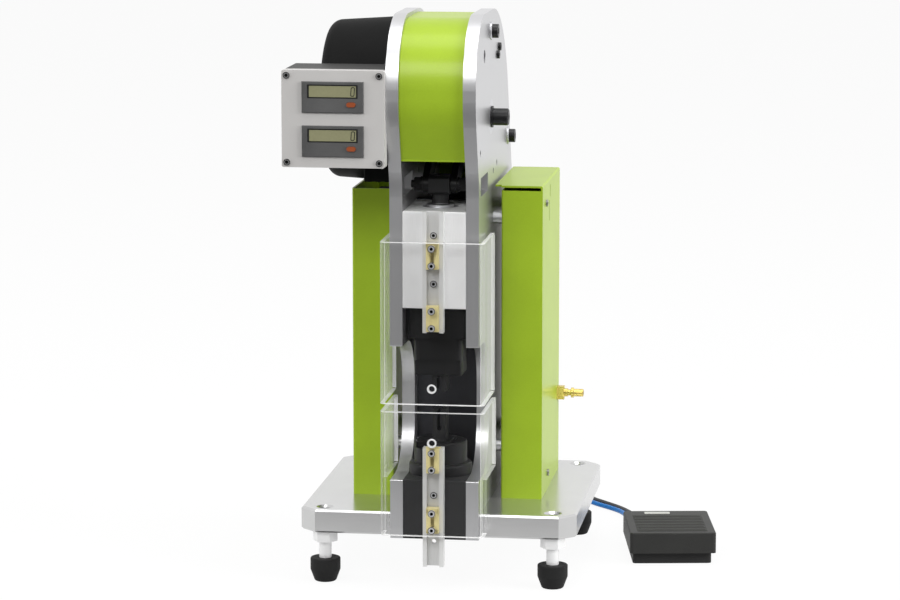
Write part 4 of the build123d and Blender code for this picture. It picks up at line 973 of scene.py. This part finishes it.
# --- pedal
@dataclass
class PedalMat:
    """The ribbed mat and the bare name plate on the pedal's treadle, in the pedal's own millimetres.

    Attributes:
        hinge: place of the treadle's hinge.
        mat_x: left and right side of the mat.
        mat_y: its front and back.
        mat_height: its height between the ribs.
        mat_points: points across and along it.
        ribs: how many ribs it has.
        rib_height: how far they rise.
        rib_slope: how steep their sides are, 0.5 for a plain wave.
        rib_end: length of their slope at each side.
        plate_x: left and right side of the name plate.
        plate_y: its front and back.
        plate_height: its height.
        plate_points: points across and along it.
        gland: depth and height of the lines' glands.
    """

    hinge: Span = (35.0, 75.0)
    mat_x: Span = (6.5, 63.5)
    mat_y: Span = (6.0, 66.0)
    mat_height: float = 0.15
    mat_points: tuple[int, int] = (25, 97)
    ribs: int = 6
    rib_height: float = 0.7
    rib_slope: float = 0.9
    rib_end: float = 1.5
    plate_x: Span = (17.0, 38.0)
    plate_y: Span = (70.5, 77.5)
    plate_height: float = 0.3
    plate_points: tuple[int, int] = (5, 4)
    gland: Span = (86.0, 9.0)

    def __post_init__(self) -> None:
        """Read the treadle's place and turn from its hinge, and its height from its box."""
        joint = next(j for j in frame["joints"] if j["name"] == "pedal_press")
        self.axis = np.array(joint["axis"][:2])
        self.middle = np.array(joint["pos_m"][:2])
        self.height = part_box("pedal_treadle")[1].z / MM

    def _placed(self, points: np.ndarray) -> np.ndarray:
        """Turn and shift points from the pedal's own frame, and change them to metres.

        Args:
            points: points in millimetres from the pedal's corner.

        Returns:
            Points in metres in the machine's frame.
        """
        across, along = (points[:, :2] - self.hinge).T * MM
        right, back = self.axis, np.array([-self.axis[1], self.axis[0]])
        flat = self.middle + across[:, None] * right + along[:, None] * back
        return np.column_stack([flat, points[:, 2] * MM])

    def gland_place(self, offset: float) -> Point:
        """Where a line enters its gland on the pedal's back.

        Args:
            offset: distance of the gland from the pedal's left side in millimetres.

        Returns:
            The place in millimetres.
        """
        place = self._placed(np.array([[offset, *self.gland]]))[0] / MM
        return tuple(float(value) for value in place)

    def build(self) -> None:
        """Make the mat and the plate.

        A rib's height goes as 0.5 - slope cos(2 pi p), held between 0 and 1, with p counting the ribs.
        """
        across = np.linspace(*self.mat_x, self.mat_points[0])
        along = np.linspace(*self.mat_y, self.mat_points[1])
        phase = (along - self.mat_y[0]) / (self.mat_y[1] - self.mat_y[0]) * self.ribs
        wave = np.clip(0.5 - self.rib_slope * np.cos(2 * math.pi * phase), 0.0, 1.0)
        ends = np.clip(np.minimum(across - self.mat_x[0], self.mat_x[1] - across) / self.rib_end, 0.0, 1.0)
        top = self.height + self.mat_height + self.rib_height * wave[:, None] * ends[None, :]
        points, faces = closed_pad(across, along, top, self.height + HAIR)
        mat = mesh_piece("pedal_mat", self._placed(points), faces, PEDAL_RUBBER)
        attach(mat, "pedal_body")
        across = np.linspace(*self.plate_x, self.plate_points[0])
        along = np.linspace(*self.plate_y, self.plate_points[1])
        top = np.full((len(along), len(across)), self.height + self.plate_height)
        points, faces = closed_pad(across, along, top, self.height + HAIR)
        plate = mesh_piece("pedal_plate", self._placed(points), faces, LABEL_GREY)
        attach(plate, "pedal_body")
        LOG.info("made the pedal's mat")


# --- machine
@dataclass
class Machine:
    """The CAD nodes of the machine, dressed, and the clear guards.

    Attributes:
        soft_edges: nodes with rounded edges, and the width of those edges in metres.
        ram_change: height above the guide block from which the ram is black, in millimetres.
        ram_tones: colours of the ram, below and above.
    """

    soft_edges: tuple[tuple[str, float], ...] = (
        ("counter_lid", 0.0005), ("guide_block", 0.0005), ("anvil_block", 0.0004),
    )
    ram_change: float = 2.6
    ram_tones: tuple[Colour, Colour] = (linear(214, 214, 216), linear(26, 26, 27))

    def build(self) -> None:
        """Dress every node and round the edges that show it."""
        for finish, nodes in NODE_FINISHES.items():
            material = finish.build()
            for node in nodes:
                dress_node(node, material)
            LOG.info("dressed %s in %s", ", ".join(nodes), finish.name)
        for node in ("upper_guard", "lower_guard"):
            low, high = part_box(node)
            dress_node(node, ClearSheet(f"{node}_clear", low.z, high.z, high.y).build())
        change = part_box("guide_block")[1].z + self.ram_change * MM
        dress_node("ram", TwoTone("ram_metal", change, *self.ram_tones).build())
        for node, width in self.soft_edges:
            soften_node(node, width)


@dataclass
class SocketShades:
    """Dark cups of painted shade in the hexagon sockets of a node's screws, in millimetres.

    Attributes:
        node: the screws' CAD node.
        axis: which way the screws' heads face.
        flats: width of a socket across its flats.
        depth: depth of a socket.
        body: the body that the screws move with.
        side: -1 for the screws left of the middle, 1 for those right of it, 0 for all.
        fit: width of the shade cup as a share of the socket's.
        taper: width of the shade cup at the foot of its walls, as a share of its mouth.
        walls: depth of its walls as a share of the socket's.
        dish: depth of its middle as a share of the socket's.
    """

    node: str
    axis: str
    flats: float
    depth: float
    body: str = "machine_frame"
    side: int = 0
    fit: float = 0.97
    taper: float = 0.96
    walls: float = 0.6
    dish: float = 0.9

    def build(self) -> None:
        """Make one dished hexagon cup of painted shade in each screw's head."""
        normal = Vector(AXES[self.axis])
        places = []
        for low, high in solids_of(self.node):
            middle = (low + high) / 2
            if self.side * middle.x < 0:
                continue
            size = high - low
            reach = abs(size.x * normal.x) + abs(size.y * normal.y)
            places.append(middle + normal * reach / 2)
        corner = self.fit * self.flats / math.sqrt(3.0)
        foot = (corner * self.taper, -self.walls * self.depth)
        profile = [(corner, HAIR), foot, (0.0, -self.dish * self.depth)]
        name = f"{self.node}_sockets{self.axis}"
        shade_cups = lathed(name, [profile] * len(places), places, self.axis, SOCKET_SHADE, 6)
        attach(shade_cups, self.body)
        LOG.info("made %d sockets in %s", len(places), self.node)


@dataclass
class ScrewShadeRims:
    """Dark rings of painted shade round the front edges of a node's screw heads, where the gap round each
    head lies in shade, in millimetres.

    Attributes:
        node: the screws' CAD node.
        body: the body that the screws move with.
        side: -1 for the screws left of the middle, 0 for all.
        width: width of a rim.
        proud: how far it stands out from the head.
        depth: how far it reaches back.
    """

    node: str
    body: str = "machine_frame"
    side: int = 0
    width: float = 0.5
    proud: float = 0.08
    depth: float = 0.5

    def build(self) -> None:
        """Make one ring of painted shade that wraps the front edge of each head."""
        places, profiles = [], []
        for low, high in solids_of(self.node):
            middle = (low + high) / 2
            if self.side * middle.x < 0:
                continue
            outer = (high.x - low.x) / 2 / MM + self.proud
            inner = outer - self.width
            places.append(Vector((middle.x, low.y, middle.z)))
            profiles.append([
                (inner, -HAIR), (inner, self.proud), (outer - self.proud, self.proud),
                (outer, 0.0), (outer, -self.depth), (inner, -self.depth), (inner, -HAIR),
            ])
        rims = lathed(f"{self.node}_rims", profiles, places, "-y", RIM_SHADE)
        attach(rims, self.body)
        LOG.info("made %d rims in %s", len(places), self.node)


@dataclass
class GuardEyelet:
    """Bright eyelet in the spare hole of a guard's front, in millimetres.

    Attributes:
        node: the guard's CAD node.
        body: the body that it moves with.
        rise: height of the hole above the guard's lower edge.
        profile: outline of the eyelet as (radius, height) points.
    """

    node: str
    body: str
    rise: float
    profile: tuple[Span, ...] = (
        (2.4, -3.0), (2.4, 0.3), (2.65, 0.5), (3.45, 0.5), (3.7, 0.25), (3.7, 0.03), (2.95, 0.03),
        (2.95, -3.0), (2.4, -3.0),
    )

    def build(self) -> None:
        """Make the eyelet: a tube through the hole with a rolled rim in front."""
        low, _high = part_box(self.node)
        place = Vector((0.0, low.y, low.z + self.rise * MM))
        eyelet = lathed(f"{self.node}_eyelet", [self.profile], [place], "-y", EYELET_WHITE)
        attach(eyelet, self.body)
        LOG.info("made the eyelet of %s", self.node)


@dataclass
class ScrewBosses:
    """Bright turned collars under the two black cap screws on the right side plate, in millimetres.

    Attributes:
        radius: radius of a collar.
        height: its height.
        edge: width of its chamfer.
        play: gap between it and the screw's head.
        least_head: height of the lowest head that has a collar.
    """

    radius: float = 7.2
    height: float = 1.3
    edge: float = 0.4
    play: float = 0.05
    least_head: float = 5.0

    def build(self) -> None:
        """Make a chamfered ring round the foot of each large screw head."""
        places, profiles = [], []
        for low, high in solids_of("plate_screws"):
            size = high - low
            if low.x < 0 or size.x < self.least_head * MM:
                continue
            inner = size.z / 2 / MM + self.play
            places.append(Vector((low.x, (low.y + high.y) / 2, (low.z + high.z) / 2)))
            profiles.append([
                (inner, HAIR), (self.radius, HAIR), (self.radius, self.height - self.edge),
                (self.radius - self.edge, self.height), (inner, self.height), (inner, HAIR),
            ])
        rings = lathed("screw_collars", profiles, places, "x", BRIGHT_STEEL)
        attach(rings, "machine_frame")
        LOG.info("made the collars under the cap screws")


def main() -> None:
    """Build the scene in order: camera and lines first, then the machine's pieces."""
    logging.basicConfig(level=logging.INFO, format="%(message)s")
    Studio().build()
    pedal = PedalMat()
    FloorLine(
        "air_line_curve", AIR_BLUE,
        [(60, 85, 84), (60, 116, 84), (61, 143, 56), (55, 164, 22), (40, 186, 2), (34.1, 214, 2)],
        (10, 225),
        [(34.1, 236, 6.4), (34.5, 262, 3), (48, 284, 2), (68, 266, 2), (82, 226, 2), (94.5, 206, 2),
         (110, 190, 2), (124, 172, 2), (133, 138, 2), (134.8, 103, 6.5), pedal.gland_place(8.0)],
        ("air_line", "air_coil"), 1.14,
    ).build()
    FloorLine(
        "signal_line_curve", SIGNAL_BLACK,
        [(60, 85, 98), (60, 116, 98), (44, 144, 76), (22, 160, 46), (0, 176, 18), (-16, 197, 4),
         (-21.9, 214, 2)],
        (-46, 225),
        [(-21.9, 236, 6.4), (-21, 262, 3), (-4, 284, 2), (30, 298, 2), (62, 294, 2), (79, 262, 2),
         (90, 225, 2), (104, 208.5, 2), (124.6, 183, 2), (139, 148, 2), (143.2, 104.5, 6.5),
         pedal.gland_place(16.5)],
        ("signal_line", "signal_coil"), 1.24,
    ).build()
    for part in (
        Machine(),
        CounterFace("lower_counter"),
        CounterFace("upper_counter"),
        pedal,
        SocketShades("cover_screws", "-y", 2.5, 0.6, side=-1),
        SocketShades("cover_screws", "x", 2.5, 0.7, side=1),
        SocketShades("plate_screws", "x", 5.0, 3.0, side=1),
        SocketShades("rail_screws", "-y", 2.5, 0.8),
        SocketShades("upper_clamp_screws", "-y", 2.5, 1.2, "upper_guard_body"),
        SocketShades("lower_clamp_screws", "-y", 2.5, 1.2, "lower_guard_body"),
        ScrewShadeRims("cover_screws", side=-1),
        ScrewShadeRims("rail_screws"),
        ScrewShadeRims("upper_clamp_screws", "upper_guard_body", width=0.35),
        ScrewShadeRims("lower_clamp_screws", "lower_guard_body", width=0.35),
        GuardEyelet("upper_guard", "upper_guard_body", 12.8),
        GuardEyelet("lower_guard", "lower_guard_body", 74.5),
        ScrewBosses(),
    ):
        part.build()


if __name__ == "__main__":
    main()
